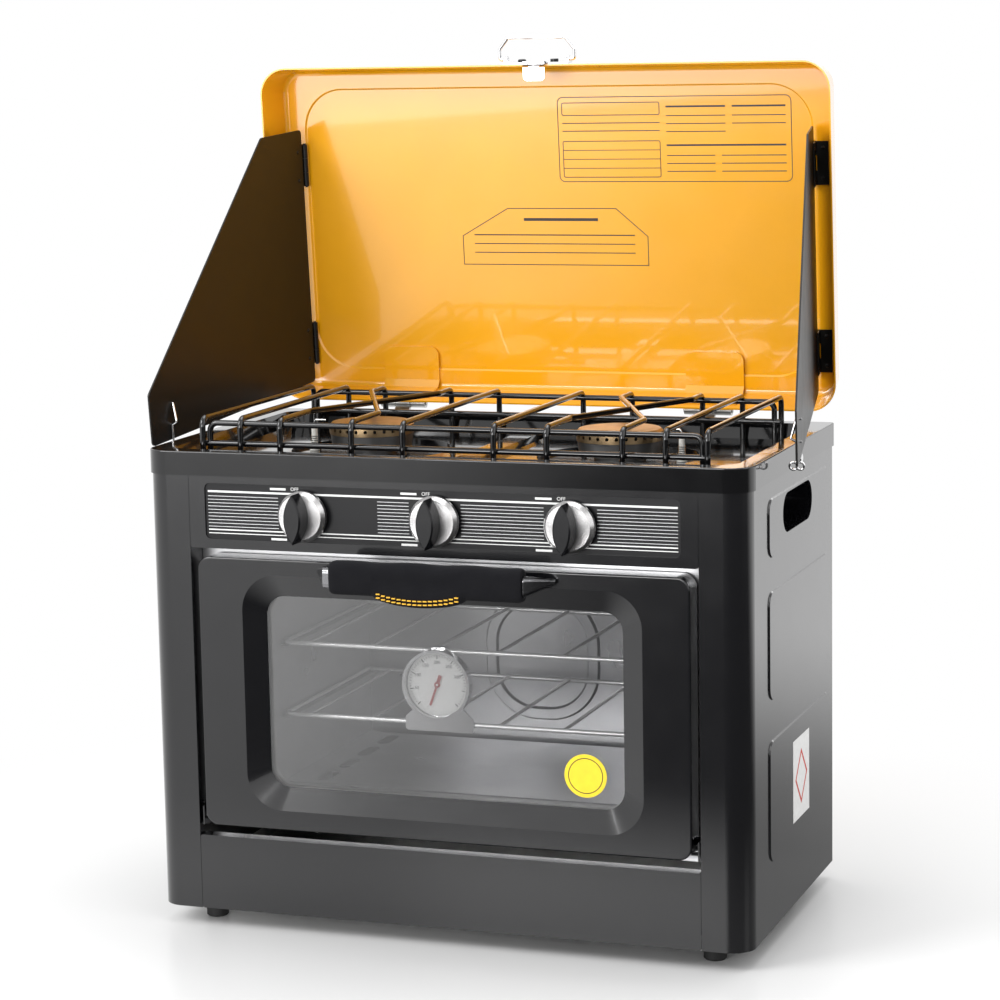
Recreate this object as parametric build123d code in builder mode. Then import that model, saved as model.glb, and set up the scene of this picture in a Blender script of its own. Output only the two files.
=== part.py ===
from build123d import *
import math
import os

os.makedirs("parts", exist_ok=True)

# Driving dimensions, in millimetres. X runs to the right, Y to the back and Z up.
# The origin is on the floor, under the middle of the cabinet.
cabinet_width = 520.0
cabinet_depth = 290.0
rim_height = 408.0
foot_height = 16.0
foot_radius = 9.5
foot_inset_x = 38.0
foot_inset_y = 34.0
sheet = 1.2
seat_gap = 0.3
post_face = 40.0
post_radius = 20.0
rear_radius = 3.0
back_lap = 16.0
lower_panel_height = 64.0
fascia_height = 81.0
return_flange = 12.0

skirt_height = 20.0
rim_ledge = 14.0
pan_depth = 14.0
pan_slope_deg = 15.0
burner_pitch = 224.0
burner_y = -2.0
well_radius = 70.0
well_depth = 3.0
burner_hole_radius = 16.0
divider_width = 26.0
divider_height = 5.0

side_pad_width = 207.0
side_pad_y = 21.5
side_pad_radius = 12.0
side_pad_heights = ((73.0, 175.0), (208.0, 298.0), (rim_height - 83.0, rim_height - 34.0))
grip_slot_length = 100.0
grip_slot_height = 33.0
grip_slot_z = rim_height - 53.0
grip_slot_y = 12.5
grip_cup_depth = 24.0

label_width = cabinet_width - 109.0
label_height = 47.0
label_z = rim_height - 49.5
label_radius = 5.0
label_lap = 4.0
knob_pitch = 115.5
knob_radius = 21.0
knob_skirt_height = 8.0
knob_grip_height = 17.0
knob_grip_width = 15.0
knob_push = 3.0
valve_radius = 9.0
valve_length = 27.0
plug_radius = 6.0
plug_length = 16.0
stem_radius = 3.0
stem_clearance = 0.05
rail_radius = 5.0
rail_wall = 1.0
inlet_x = cabinet_width / 2 - 55.0
inlet_radius = 8.0
inlet_length = 14.0
pipe_radius = 3.0
venturi_radius = 7.5

door_side_gap = 7.0
door_bottom_gap = 10.0
door_top_gap = 7.0
door_proud = 2.0
door_thickness = 21.5
door_corner = 11.0
door_sheet = 1.5
hinge_above_door_edge = 6.0
hinge_behind_front = 8.0
hinge_pin_radius = 3.0
hinge_pin_length = 9.0
window_width = 310.0
window_height = 163.0
window_z = 206.5
window_radius = 17.0
bezel_margin = 18.5
bezel_round = 14.0
bezel_back = 4.0
glass_recess = 9.0
glass_thickness = 4.0
glass_lap = 8.0
seal_width = 8.0
seal_thickness = 3.5

handle_span = 206.0
handle_standoff = 29.0
handle_z = rim_height - 95.5
handle_bar_height = 17.0
handle_bar_depth = 9.0
grip_x = 2.5
grip_length = 165.0
grip_height = 28.0
grip_rise = 1.0
grip_depth = 17.0
grip_sag = 8.0
grip_sag_length = 80.0

oven_half_width = 168.0
oven_bottom = 114.0
oven_top = rim_height - 108.0
oven_back_y = cabinet_depth / 2 - 27.0
oven_sheet = 1.0
burner_box_height = 23.0
rack_level_low = 174.5
rack_level_high = 236.8
rack_front_y = -cabinet_depth / 2 + 62.0
rack_back_y = oven_back_y - 10.0
rack_frame_wire = 4.0
rack_cross_wire = 3.0
rack_wire_pitch = 57.2
rack_wire_count = 6
runner_width = 9.0

lid_width = cabinet_width + 6.8
lid_length = 304.0
lid_depth = 40.0
lid_draft = 6.0
lid_sheet = 1.2
lid_corner = 25.0
lid_bend_radius = 5.2
lid_lean_deg = 4.57
lid_edge_z = rim_height + 8.7
lid_edge_y = cabinet_depth / 2 - 0.6
plateau_half_width = lid_width / 2 - 24.4
plateau_low = 22.0
plateau_high = 282.0
plateau_radius = 38.0
plateau_rise = 1.5
lid_hinge_x = 144.6
lid_hinge_width = 53.5
lid_hinge_depth = 13.6
lid_hinge_drop = 3.6
lid_pin_radius = 2.0
lid_knuckle_radius = 4.3
lid_leaf_end = 31.0
leaf_sheet = 1.5

shield_hinge_x = lid_width / 2 - 25.0
shield_hinge_depth = 35.3
shield_splay_deg = 9.67
shield_sheet = 1.5
shield_reach = 266.0
shield_top_reach = 69.8
shield_top = 245.2
shield_nose_top = 47.8
shield_nose_bottom = 2.5
shield_heel = 11.4
shield_hinge_heights = (46.9, 212.2)
shield_hinge_length = 38.0
shield_pin_radius = 1.3
shield_knuckle_radius = 2.5
shield_leaf_start = 3.4
shield_leaf_end = 13.5
shield_leaf_sheet = 1.2

bail_half_width = 34.0
bail_height = 19.0
bail_slant_height = 10.0
bail_slant_inset = 8.0
bail_wire = 3.6
bail_depth = 8.0
latch_width = 20.0
latch_length = 15.0
latch_corner = 4.0

clip_wire = 2.0
clip_holes = ((234.0, 35.0), (237.0, 17.0))
clip_poke = 1.5
clip_inside = 1.5
clip_bend_height = 19.5
clip_bend_inside = 6.0
clip_loop_radius = 3.0
clip_loop_overlap = 0.2
clip_hang = 20.0

grate_half_width = 219.5
grate_front_y = -114.7
grate_back_y = 123.4
grate_top = 434.4
grate_wire = 5.0
grate_rail_wire = 5.0
grate_bend = 7.0
bar_places = (39.5, 85.0, 149.0, 185.0, 219.5)
kink_front = 61.0
kink_back = 33.0
grate_foot_gap = 0.3

cap_radius = 36.5
cap_height = 9.5
cap_port_count = 28
cap_port_radius = 1.5
burner_body_height = 11.5
burner_body_lift = 5.3
igniter_x = 166.0
igniter_radius = 2.6
igniter_height = 21.0

dial_radius = 30.0
dial_x = -23.0
dial_z = 209.0
dial_depth = 9.0
dial_foot_half_width = 30.5
dial_tab_width = 12.0

# Values that follow from them
front_y = -cabinet_depth / 2
back_y = cabinet_depth / 2
side_x = cabinet_width / 2
opening_x = side_x - post_face
lower_panel_top = foot_height + lower_panel_height
fascia_bottom = rim_height - fascia_height
skirt_proud = sheet + seat_gap
skirt_bottom = rim_height - skirt_height
pan_floor = rim_height - pan_depth
well_floor = pan_floor - well_depth
panel_top = rim_height - sheet - seat_gap
panel_height = panel_top - foot_height
inside_x = side_x - sheet - seat_gap
inside_y = back_y - sheet - seat_gap
knob_z = label_z - 1.0
knob_places = {"left": -knob_pitch, "centre": 0.0, "right": knob_pitch}
sides = {"left": -1, "right": 1}

door_bottom = lower_panel_top + door_bottom_gap
door_top = fascia_bottom - door_top_gap
door_height = door_top - door_bottom
door_z = (door_top + door_bottom) / 2
door_width = 2 * (opening_x - door_side_gap)
door_face_y = front_y - door_proud
door_back_y = door_face_y + door_thickness
door_axis_y = front_y + hinge_behind_front
door_axis_z = door_bottom + hinge_above_door_edge
liner_face_y = door_back_y + seal_thickness + seat_gap
return_back_y = liner_face_y + sheet
burner_bottom = well_floor + seat_gap
burner_body_bottom = burner_bottom + burner_body_lift
burner_body_top = burner_body_bottom + burner_body_height
valve_front_y = front_y + 9.0
valve_back_y = valve_front_y + valve_length
knob_back_y = front_y - 2.5
rail_z = knob_z - valve_radius - rail_radius
rail_y = valve_front_y + valve_length / 2
burner_tube_z = oven_bottom - burner_box_height / 2


def front_plane(y):
    """Sketch plane across the front: x to the right, y up, and out towards the viewer."""
    return Plane(origin=(0, y, 0), x_dir=(1, 0, 0), z_dir=(0, -1, 0))


def side_plane(side, x):
    """Sketch plane on a flank, facing outwards, with its y up. Its x is side times Y."""
    return Plane(origin=(side * x, 0, 0), x_dir=(0, side, 0), z_dir=(side, 0, 0))


def cabinet_outline(grow=0.0):
    """The cabinet's plan, grown outwards: round corners in front and tight ones behind."""
    with BuildSketch() as plan:
        Rectangle(cabinet_width + 2 * grow, cabinet_depth + 2 * grow)
        fillet(plan.vertices().sort_by(Axis.Y)[:2], post_radius + grow)
        fillet(plan.vertices().sort_by(Axis.Y)[-2:], rear_radius + grow)
    return plan.sketch


lean = math.radians(lid_lean_deg)
lid_origin = Vector(0, lid_edge_y, lid_edge_z)
lid_up = Vector(0, -math.sin(lean), math.cos(lean))
lid_back = Vector(0, math.cos(lean), math.sin(lean))
draft_slope = lid_draft / lid_depth


def lid_plane(depth=0.0):
    """The lid's opening plane, moved back into the lid: x right, y up the lid."""
    return Plane(origin=lid_origin + lid_back * depth, x_dir=(1, 0, 0), z_dir=-lid_back)


def lid_section(x):
    """A plane across the lid at x: its x is the depth and its y is up the lid."""
    return Plane(origin=lid_origin + Vector(x, 0, 0), x_dir=lid_back, z_dir=(1, 0, 0))


# Cabinet side panels, each wrapped round its corners as a post at the front
for side_name, side in sides.items():
    with BuildPart() as side_panel:
        with BuildSketch(Plane.XY.offset(foot_height)):
            add(cabinet_outline())
            add(cabinet_outline(-sheet), mode=Mode.SUBTRACT)
            with Locations((side * (side_x - post_face / 2), 0)):
                Rectangle(post_face, cabinet_depth, mode=Mode.INTERSECT)
        extrude(amount=panel_height)
        with BuildSketch(Plane.XY.offset(foot_height + return_flange + seat_gap)):
            with Locations((side * (opening_x + sheet / 2), (front_y + return_back_y) / 2)):
                Rectangle(sheet, return_back_y - front_y)
        extrude(amount=well_floor - sheet - 2 - foot_height - return_flange)
        for low, high in side_pad_heights:
            with BuildSketch(side_plane(side, side_x)):
                with Locations((side * side_pad_y, (low + high) / 2)):
                    RectangleRounded(side_pad_width, high - low, side_pad_radius)
            extrude(amount=sheet, taper=40)
        with BuildSketch(side_plane(side, side_x + 2 * sheet)):
            with Locations((side * grip_slot_y, grip_slot_z)):
                SlotOverall(grip_slot_length, grip_slot_height)
        extrude(amount=-5 * sheet, mode=Mode.SUBTRACT)
    side_panel.part.label = f"side_panel_{side_name}"
    export_step(side_panel.part, f"parts/side_panel_{side_name}.step")

# Recessed hand grips, one cup behind the slot in each side panel
with BuildPart() as grip_cups:
    for side in sides.values():
        cup_face = side_plane(side, inside_x)
        with BuildSketch(cup_face):
            with Locations((side * grip_slot_y, grip_slot_z)):
                SlotOverall(grip_slot_length + 14, grip_slot_height + 14)
        extrude(amount=-1.5)
        with BuildSketch(cup_face):
            with Locations((side * grip_slot_y, grip_slot_z)):
                SlotOverall(grip_slot_length + 3, grip_slot_height + 3)
        extrude(amount=-grip_cup_depth)
        with BuildSketch(cup_face):
            with Locations((side * grip_slot_y, grip_slot_z)):
                SlotOverall(grip_slot_length, grip_slot_height)
        extrude(amount=-grip_cup_depth + 1.5, mode=Mode.SUBTRACT)
grip_cups.part.label = "grip_cups"
export_step(grip_cups.part, "parts/grip_cups.step")

# Back panel with vent slots and the hole for the gas inlet
back_bottom = foot_height + sheet + seat_gap
back_half_x = opening_x + back_lap
vents_above_base = 64.5
vents_below_top = 41.5
vent_pitch = (cabinet_width - 148) / 6
with BuildPart() as back_panel:
    with BuildSketch(front_plane(inside_y)):
        with Locations((0, (back_bottom + panel_top) / 2)):
            Rectangle(2 * back_half_x, panel_top - back_bottom)
        with Locations((0, back_bottom + vents_above_base), (0, panel_top - vents_below_top)):
            with GridLocations(vent_pitch, 13, 6, 3):
                SlotOverall(46, 5, mode=Mode.SUBTRACT)
        with Locations((inlet_x, rail_z)):
            Circle(inlet_radius + 2, mode=Mode.SUBTRACT)
    extrude(amount=sheet)
back_panel.part.label = "back_panel"
export_step(back_panel.part, "parts/back_panel.step")

# Base pan with its turned-up lip
pan_half_x = inside_x
pan_front_y = front_y + sheet + seat_gap
pan_back_y = inside_y - sheet - seat_gap
foot_places = [
    (sx * (side_x - foot_inset_x), sy * (back_y - foot_inset_y)) for sx in (-1, 1) for sy in (-1, 1)
]
with BuildPart() as base_pan:
    with BuildSketch(Plane.XY.offset(foot_height)) as base_plan:
        with Locations((0, (pan_front_y + pan_back_y) / 2)):
            Rectangle(2 * pan_half_x, pan_back_y - pan_front_y)
        fillet(base_plan.vertices().sort_by(Axis.Y)[:2], post_radius - sheet)
        fillet(base_plan.vertices().sort_by(Axis.Y)[-2:], rear_radius)
    extrude(amount=return_flange)
    offset(amount=-sheet, openings=base_pan.faces().sort_by(Axis.Z)[-1])
    with BuildSketch(Plane.XY.offset(foot_height)):
        with GridLocations((cabinet_width - 70) / 3, 60, 3, 3):
            SlotOverall(90, 8)
        with Locations(foot_places):
            Circle(2.6)
    extrude(amount=sheet, mode=Mode.SUBTRACT)
base_pan.part.label = "base_pan"
export_step(base_pan.part, "parts/base_pan.step")

# Rubber feet, and the screws that hold them from inside
with BuildPart() as feet:
    with BuildSketch():
        with Locations(foot_places):
            Circle(foot_radius)
    extrude(amount=foot_height)
    chamfer(feet.faces().sort_by(Axis.Z)[:4].edges(), 1.2)
    with BuildSketch(Plane.XY.offset(foot_height)):
        with Locations(foot_places):
            Circle(2.5)
    extrude(amount=-foot_height / 2, mode=Mode.SUBTRACT)
feet.part.label = "feet"
export_step(feet.part, "parts/feet.step")

# Lower front panel, a tray standing on the base pan between the posts
panel_half_x = opening_x - seat_gap
with BuildPart() as lower_front_panel:
    with BuildSketch(front_plane(front_y + return_flange)):
        with Locations((0, (foot_height + lower_panel_top) / 2)):
            RectangleRounded(2 * panel_half_x, lower_panel_height, 2)
    extrude(amount=return_flange)
    with BuildSketch(front_plane(front_y + sheet)):
        with Locations((0, (foot_height + lower_panel_top) / 2)):
            Rectangle(2 * (panel_half_x - sheet), lower_panel_height - 2 * sheet)
    extrude(amount=-return_flange, mode=Mode.SUBTRACT)
    with BuildSketch(front_plane(front_y + sheet)):
        with Locations((0, foot_height)):
            Rectangle(2 * cabinet_width, 2 * (return_flange + sheet))
    extrude(amount=-return_flange, mode=Mode.SUBTRACT)
lower_front_panel.part.label = "lower_front_panel"
export_step(lower_front_panel.part, "parts/lower_front_panel.step")

# Control fascia with the window that the label plate shows through
with BuildPart() as control_fascia:
    with BuildSketch(front_plane(front_y + return_flange)):
        with Locations((0, (fascia_bottom + panel_top) / 2)):
            RectangleRounded(2 * panel_half_x, panel_top - fascia_bottom, 2)
    extrude(amount=return_flange)
    with BuildSketch(front_plane(front_y + sheet)):
        with Locations((0, (fascia_bottom + panel_top) / 2)):
            Rectangle(2 * (panel_half_x - sheet), panel_top - fascia_bottom - 2 * sheet)
    extrude(amount=-return_flange, mode=Mode.SUBTRACT)
    with BuildSketch(front_plane(front_y)):
        with Locations((0, label_z)):
            RectangleRounded(label_width, label_height, label_radius)
    extrude(amount=-sheet, mode=Mode.SUBTRACT)
control_fascia.part.label = "control_fascia"
export_step(control_fascia.part, "parts/control_fascia.step")

# Label plate behind the fascia, with a hole for each stem
label_front_y = front_y + sheet + seat_gap
with BuildPart() as label_plate:
    with BuildSketch(front_plane(label_front_y)):
        with Locations((0, label_z)):
            RectangleRounded(label_width + 2 * label_lap, label_height + 2 * label_lap, label_radius)
        with Locations([(x, knob_z) for x in knob_places.values()]):
            Circle(stem_radius + 2, mode=Mode.SUBTRACT)
    extrude(amount=-0.8)
label_plate.part.label = "label_plate"
export_step(label_plate.part, "parts/label_plate.step")

# Cooktop: a pressed sheet with a skirt, a ledge, a sunk pan, two wells and a divider
burner_places = [(s * burner_pitch / 2, burner_y) for s in (-1, 1)]
pan_width = cabinet_width - 2 * rim_ledge
pan_length = cabinet_depth - 2 * rim_ledge
with BuildPart() as cooktop:
    with BuildSketch(Plane.XY.offset(skirt_bottom)):
        add(cabinet_outline(skirt_proud))
    extrude(amount=skirt_height)
    fillet(cooktop.faces().sort_by(Axis.Z)[-1].edges(), 1.0)
    with BuildSketch(Plane.XY.offset(skirt_bottom)):
        add(cabinet_outline(seat_gap))
    extrude(amount=skirt_height - sheet, mode=Mode.SUBTRACT)
    with BuildSketch(Plane.XY.offset(rim_height - sheet)):
        RectangleRounded(pan_width + 2 * sheet, pan_length + 2 * sheet, post_radius)
    extrude(amount=-pan_depth, taper=pan_slope_deg)
    with BuildSketch(Plane.XY.offset(rim_height)):
        RectangleRounded(pan_width, pan_length, post_radius - sheet)
    extrude(amount=-pan_depth, taper=pan_slope_deg, mode=Mode.SUBTRACT)
    with BuildSketch(Plane.XY.offset(well_floor - sheet)):
        with Locations(burner_places):
            Circle(well_radius + sheet)
    extrude(amount=well_depth)
    with BuildSketch(Plane.XY.offset(well_floor)):
        with Locations(burner_places):
            Circle(well_radius)
    extrude(amount=pan_depth, mode=Mode.SUBTRACT)
    with BuildSketch(Plane.XY.offset(pan_floor - sheet)):
        RectangleRounded(divider_width, pan_length - 3 * pan_depth, divider_width / 2 - 1)
    extrude(amount=divider_height + sheet, taper=25)
    with BuildSketch(Plane.XY.offset(well_floor - 2 * sheet)):
        with Locations(burner_places):
            Circle(burner_hole_radius)
        with Locations([(s * igniter_x, burner_y) for s in (-1, 1)]):
            Circle(igniter_radius + seat_gap)
    extrude(amount=pan_depth, mode=Mode.SUBTRACT)
cooktop.part.label = "cooktop"
export_step(cooktop.part, "parts/cooktop.step")

# Stove burner bodies: a cast cup on a throat that stands on the well floor
with BuildPart() as burner_bodies:
    with BuildSketch(Plane.XY.offset(burner_bottom)):
        with Locations(burner_places):
            Circle(burner_hole_radius + 6)
    extrude(amount=burner_body_lift)
    with BuildSketch(Plane.XY.offset(burner_body_bottom)):
        with Locations(burner_places):
            Circle(cap_radius - 2)
    extrude(amount=burner_body_height, taper=-6)
    with BuildSketch(Plane.XY.offset(burner_bottom - 4)):
        with Locations(burner_places):
            Circle(burner_hole_radius - seat_gap)
    extrude(amount=4)
    with BuildSketch(Plane.XY.offset(burner_body_top)):
        with Locations(burner_places):
            Circle(cap_radius - 6)
    extrude(amount=-burner_body_height + 3, mode=Mode.SUBTRACT)
    with BuildSketch(Plane.XY.offset(burner_body_top)):
        with Locations(burner_places):
            Circle(venturi_radius)
    extrude(amount=-60, mode=Mode.SUBTRACT)
burner_bodies.part.label = "burner_bodies"
export_step(burner_bodies.part, "parts/burner_bodies.step")

# Burner caps: a ported ring with a slightly domed top
with BuildPart() as burner_caps:
    with BuildSketch(Plane.XY.offset(burner_body_top + seat_gap)):
        with Locations(burner_places):
            Circle(cap_radius)
    extrude(amount=cap_height)
    chamfer(burner_caps.faces().sort_by(Axis.Z)[-2:].edges(), 2.0)
    with BuildSketch(Plane.XY.offset(burner_body_top + seat_gap)):
        with Locations(burner_places):
            Circle(cap_radius - 2.5)
    extrude(amount=cap_height - 2.5, mode=Mode.SUBTRACT)
    for x, y in burner_places:
        for port in range(cap_port_count // 2):
            turn = math.pi * port / (cap_port_count // 2)
            ray = Vector(math.cos(turn), math.sin(turn), 0)
            port_z = burner_body_top + seat_gap + cap_height * 0.45
            with BuildSketch(Plane(origin=Vector(x, y, port_z) - ray * 2 * cap_radius, z_dir=ray)):
                Circle(cap_port_radius)
            extrude(amount=4 * cap_radius, mode=Mode.SUBTRACT)
burner_caps.part.label = "burner_caps"
export_step(burner_caps.part, "parts/burner_caps.step")

# Igniters: a ceramic post through the well beside each burner
with BuildPart() as igniters:
    with BuildSketch(Plane.XY.offset(well_floor - 8)):
        with Locations([(s * igniter_x, burner_y) for s in (-1, 1)]):
            Circle(igniter_radius)
    extrude(amount=igniter_height + 8)
    with BuildSketch(Plane.XY.offset(well_floor + seat_gap)):
        with Locations([(s * igniter_x, burner_y) for s in (-1, 1)]):
            Circle(igniter_radius + 1.8)
    extrude(amount=2)
igniters.part.label = "igniters"
export_step(igniters.part, "parts/igniters.step")

# The spark wires that bend from the ceramics towards the caps
spark_top = well_floor + igniter_height + 6
with BuildPart() as spark_wires:
    for side in sides.values():
        with BuildLine():
            FilletPolyline(
                (side * igniter_x, burner_y, well_floor + igniter_height),
                (side * igniter_x, burner_y, spark_top),
                (side * (igniter_x - 11), burner_y, spark_top),
                radius=3,
            )
        with BuildSketch(Plane.XY.offset(well_floor + igniter_height)):
            with Locations((side * igniter_x, burner_y)):
                Circle(0.8)
        sweep()
spark_wires.part.label = "spark_wires"
export_step(spark_wires.part, "parts/spark_wires.step")

# Mixing tubes that carry gas and air from the outer valves to the stove burners
venturi_front_y = valve_back_y + 4
venturi_top = burner_bottom - 4 - seat_gap
with BuildPart() as mixing_tubes:
    for side in sides.values():
        x = side * burner_pitch / 2
        with BuildLine():
            FilletPolyline(
                (x, venturi_front_y, knob_z),
                (x, burner_y, knob_z),
                (x, burner_y, venturi_top),
                radius=12,
            )
        with BuildSketch(front_plane(venturi_front_y)):
            with Locations((x, knob_z)):
                Circle(venturi_radius)
        sweep()
        with BuildSketch(front_plane(venturi_front_y)):
            with Locations((x, knob_z)):
                Circle(venturi_radius - 1)
        extrude(amount=-40, mode=Mode.SUBTRACT)
mixing_tubes.part.label = "mixing_tubes"
export_step(mixing_tubes.part, "parts/mixing_tubes.step")

# Gas valves, each with a bore for its turning plug and a jet at the back
with BuildPart() as gas_valves:
    with BuildSketch(front_plane(valve_back_y)):
        with Locations([(x, knob_z) for x in knob_places.values()]):
            Circle(valve_radius)
    extrude(amount=valve_length)
    with BuildSketch(front_plane(valve_back_y)):
        with Locations([(x, knob_z) for x in knob_places.values()]):
            Circle(pipe_radius)
    extrude(amount=-3)
    with BuildSketch(front_plane(valve_front_y)):
        with Locations([(x, knob_z) for x in knob_places.values()]):
            Circle(plug_radius + stem_clearance)
    extrude(amount=-plug_length - 2, mode=Mode.SUBTRACT)
    with BuildSketch(Plane.XY.offset(rail_z)):
        with Locations([(x, rail_y) for x in knob_places.values()]):
            Circle(rail_radius)
    extrude(amount=valve_radius / 2 + rail_radius / 2)
    with BuildSketch(Plane(origin=(-cabinet_width, rail_y, rail_z), z_dir=(1, 0, 0))):
        Circle(rail_radius + seat_gap)
    extrude(amount=2 * cabinet_width, mode=Mode.SUBTRACT)
gas_valves.part.label = "gas_valves"
export_step(gas_valves.part, "parts/gas_valves.step")

# Gas rail under the valves, bent back to the inlet
rail_start_x = -knob_pitch - 16
inlet_face_y = back_y + inlet_length
with BuildPart() as gas_rail:
    with BuildLine():
        FilletPolyline(
            (rail_start_x, rail_y, rail_z),
            (inlet_x, rail_y, rail_z),
            (inlet_x, inside_y - 6, rail_z),
            radius=20,
        )
    with BuildSketch(Plane(origin=(rail_start_x, rail_y, rail_z), z_dir=(1, 0, 0))):
        Circle(rail_radius)
    sweep()
    with BuildSketch(front_plane(inside_y - 6)):
        with Locations((inlet_x, rail_z)):
            Circle(rail_radius - rail_wall)
    extrude(amount=80, mode=Mode.SUBTRACT)
# Gas inlet: a nut inside the back panel and a stub outside for the hose
with BuildPart() as gas_inlet:
    with BuildSketch(front_plane(inlet_face_y)):
        with Locations((inlet_x, rail_z)):
            Circle(inlet_radius)
    extrude(amount=inlet_face_y - inside_y + 5.7)
    with BuildSketch(front_plane(inside_y + seat_gap)):
        with Locations((inlet_x, rail_z)):
            RegularPolygon(inlet_radius + 4, 6)
    extrude(amount=-4)
    with BuildSketch(front_plane(inlet_face_y)):
        with Locations((inlet_x, rail_z)):
            Circle(rail_radius - rail_wall)
    extrude(amount=60, mode=Mode.SUBTRACT)
gas_inlet.part.label = "gas_inlet"
export_step(gas_inlet.part, "parts/gas_inlet.step")

# Pipe from the centre valve round the oven to the oven burner
pipe_start_y = rail_y + rail_radius + seat_gap
pipe_y = -95.0
pipe_turn_z = oven_top + 14
pipe_x = oven_half_width + 26
burner_tube_end_x = oven_half_width - 12
with BuildPart() as oven_pipe:
    with BuildLine():
        FilletPolyline(
            (0, pipe_start_y, rail_z),
            (0, pipe_y, rail_z),
            (0, pipe_y, pipe_turn_z),
            (pipe_x, pipe_y, pipe_turn_z),
            (pipe_x, 0, pipe_turn_z),
            (pipe_x, 0, burner_tube_z),
            (burner_tube_end_x + seat_gap, 0, burner_tube_z),
            radius=9,
        )
    with BuildSketch(front_plane(pipe_start_y)):
        with Locations((0, rail_z)):
            Circle(pipe_radius)
    sweep()
gas_pipes = Compound(label="gas_pipes", children=[gas_rail.part, oven_pipe.part])
export_step(gas_pipes, "parts/gas_pipes.step")

# Oven liner: a box open to the front, with a front flange, rack runners and a pressing in its back
liner_bottom = oven_bottom - burner_box_height
liner_out_x = oven_half_width + oven_sheet
flange_low = lower_panel_top + 3
flange_high = fascia_bottom - 2
flange_half_x = opening_x - seat_gap
pressing_width = 108.0
pressing_low = 134.0
pressing_high = 252.0
pressing_radius = 48.0
pressing_band = 12.0
with BuildPart() as oven_liner:
    with BuildSketch(front_plane(oven_back_y + oven_sheet)):
        with Locations((0, (liner_bottom + oven_top) / 2)):
            RectangleRounded(2 * liner_out_x, oven_top - liner_bottom + 2 * oven_sheet, 9)
    extrude(amount=oven_back_y + oven_sheet - liner_face_y)
    with BuildSketch(front_plane(liner_face_y + sheet)):
        with Locations((0, (flange_low + flange_high) / 2)):
            RectangleRounded(2 * flange_half_x, flange_high - flange_low, 4)
    extrude(amount=sheet)
    with BuildSketch(front_plane(oven_back_y)):
        with Locations((0, (liner_bottom + oven_top) / 2)):
            RectangleRounded(2 * oven_half_width, oven_top - liner_bottom, 8)
    extrude(amount=oven_back_y - liner_face_y - sheet, mode=Mode.SUBTRACT)
    with BuildSketch(front_plane(liner_face_y + 2 * sheet)):
        with Locations((0, (oven_bottom + oven_top) / 2)):
            RectangleRounded(2 * oven_half_width, oven_top - oven_bottom, 8)
    extrude(amount=4 * sheet, mode=Mode.SUBTRACT)
    for side in sides.values():
        for level in (rack_level_low, rack_level_high, oven_bottom + rack_frame_wire / 2):
            with BuildSketch(front_plane(oven_back_y)):
                with Locations((side * (oven_half_width - runner_width / 2), level - rack_frame_wire / 2 - 1)):
                    Rectangle(runner_width, 2 - 2 * seat_gap)
            extrude(amount=oven_back_y - rack_front_y)
    with BuildSketch(front_plane(oven_back_y)):
        with Locations((0, (pressing_low + pressing_high) / 2)):
            RectangleRounded(pressing_width, pressing_high - pressing_low, pressing_radius)
            offset(amount=-pressing_band, mode=Mode.SUBTRACT)
    extrude(amount=3, taper=30)
    with BuildSketch(Plane(origin=(oven_half_width - 2, 0, burner_tube_z), z_dir=(1, 0, 0))):
        Circle(pipe_radius + 1.5)
    extrude(amount=6, mode=Mode.SUBTRACT)
oven_liner.part.label = "oven_liner"
export_step(oven_liner.part, "parts/oven_liner.step")

# Oven floor over the burner, slotted along its sides
with BuildPart() as oven_floor:
    with BuildSketch(Plane.XY.offset(oven_bottom)):
        with Locations((0, (rack_front_y + rack_back_y) / 2)):
            Rectangle(2 * oven_half_width - 1, rack_back_y - rack_front_y)
            with GridLocations(2 * oven_half_width - 60, 46, 2, 4):
                SlotOverall(34, 12, rotation=90, mode=Mode.SUBTRACT)
    extrude(amount=sheet)
oven_floor.part.label = "oven_floor"
export_step(oven_floor.part, "parts/oven_floor.step")

# Oven burner: a tube across the bottom, with a row of ports each side
burner_tube_radius = 7.0
port_pitch = 12.0
port_count = 20
with BuildPart() as oven_burner:
    with BuildSketch(Plane(origin=(-burner_tube_end_x, 0, burner_tube_z), z_dir=(1, 0, 0))):
        Circle(burner_tube_radius)
    extrude(amount=2 * burner_tube_end_x)
    with BuildSketch(Plane(origin=(-burner_tube_end_x + 2, 0, burner_tube_z), z_dir=(1, 0, 0))):
        Circle(burner_tube_radius - 1)
    extrude(amount=2 * burner_tube_end_x - 4, mode=Mode.SUBTRACT)
    with BuildSketch(Plane.XZ.offset(-2 * burner_tube_radius)):
        with Locations((0, burner_tube_z + 2)):
            with GridLocations(port_pitch, 1, port_count, 1):
                Circle(1.0)
    extrude(amount=4 * burner_tube_radius, mode=Mode.SUBTRACT)
    for end in (-1, 1):
        with BuildSketch(Plane.XY.offset(liner_bottom)):
            with Locations((end * (burner_tube_end_x - 20), 0)):
                Rectangle(4, 22)
        extrude(amount=burner_tube_z - liner_bottom - burner_tube_radius + 1)
oven_burner.part.label = "oven_burner"
export_step(oven_burner.part, "parts/oven_burner.step")

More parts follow.
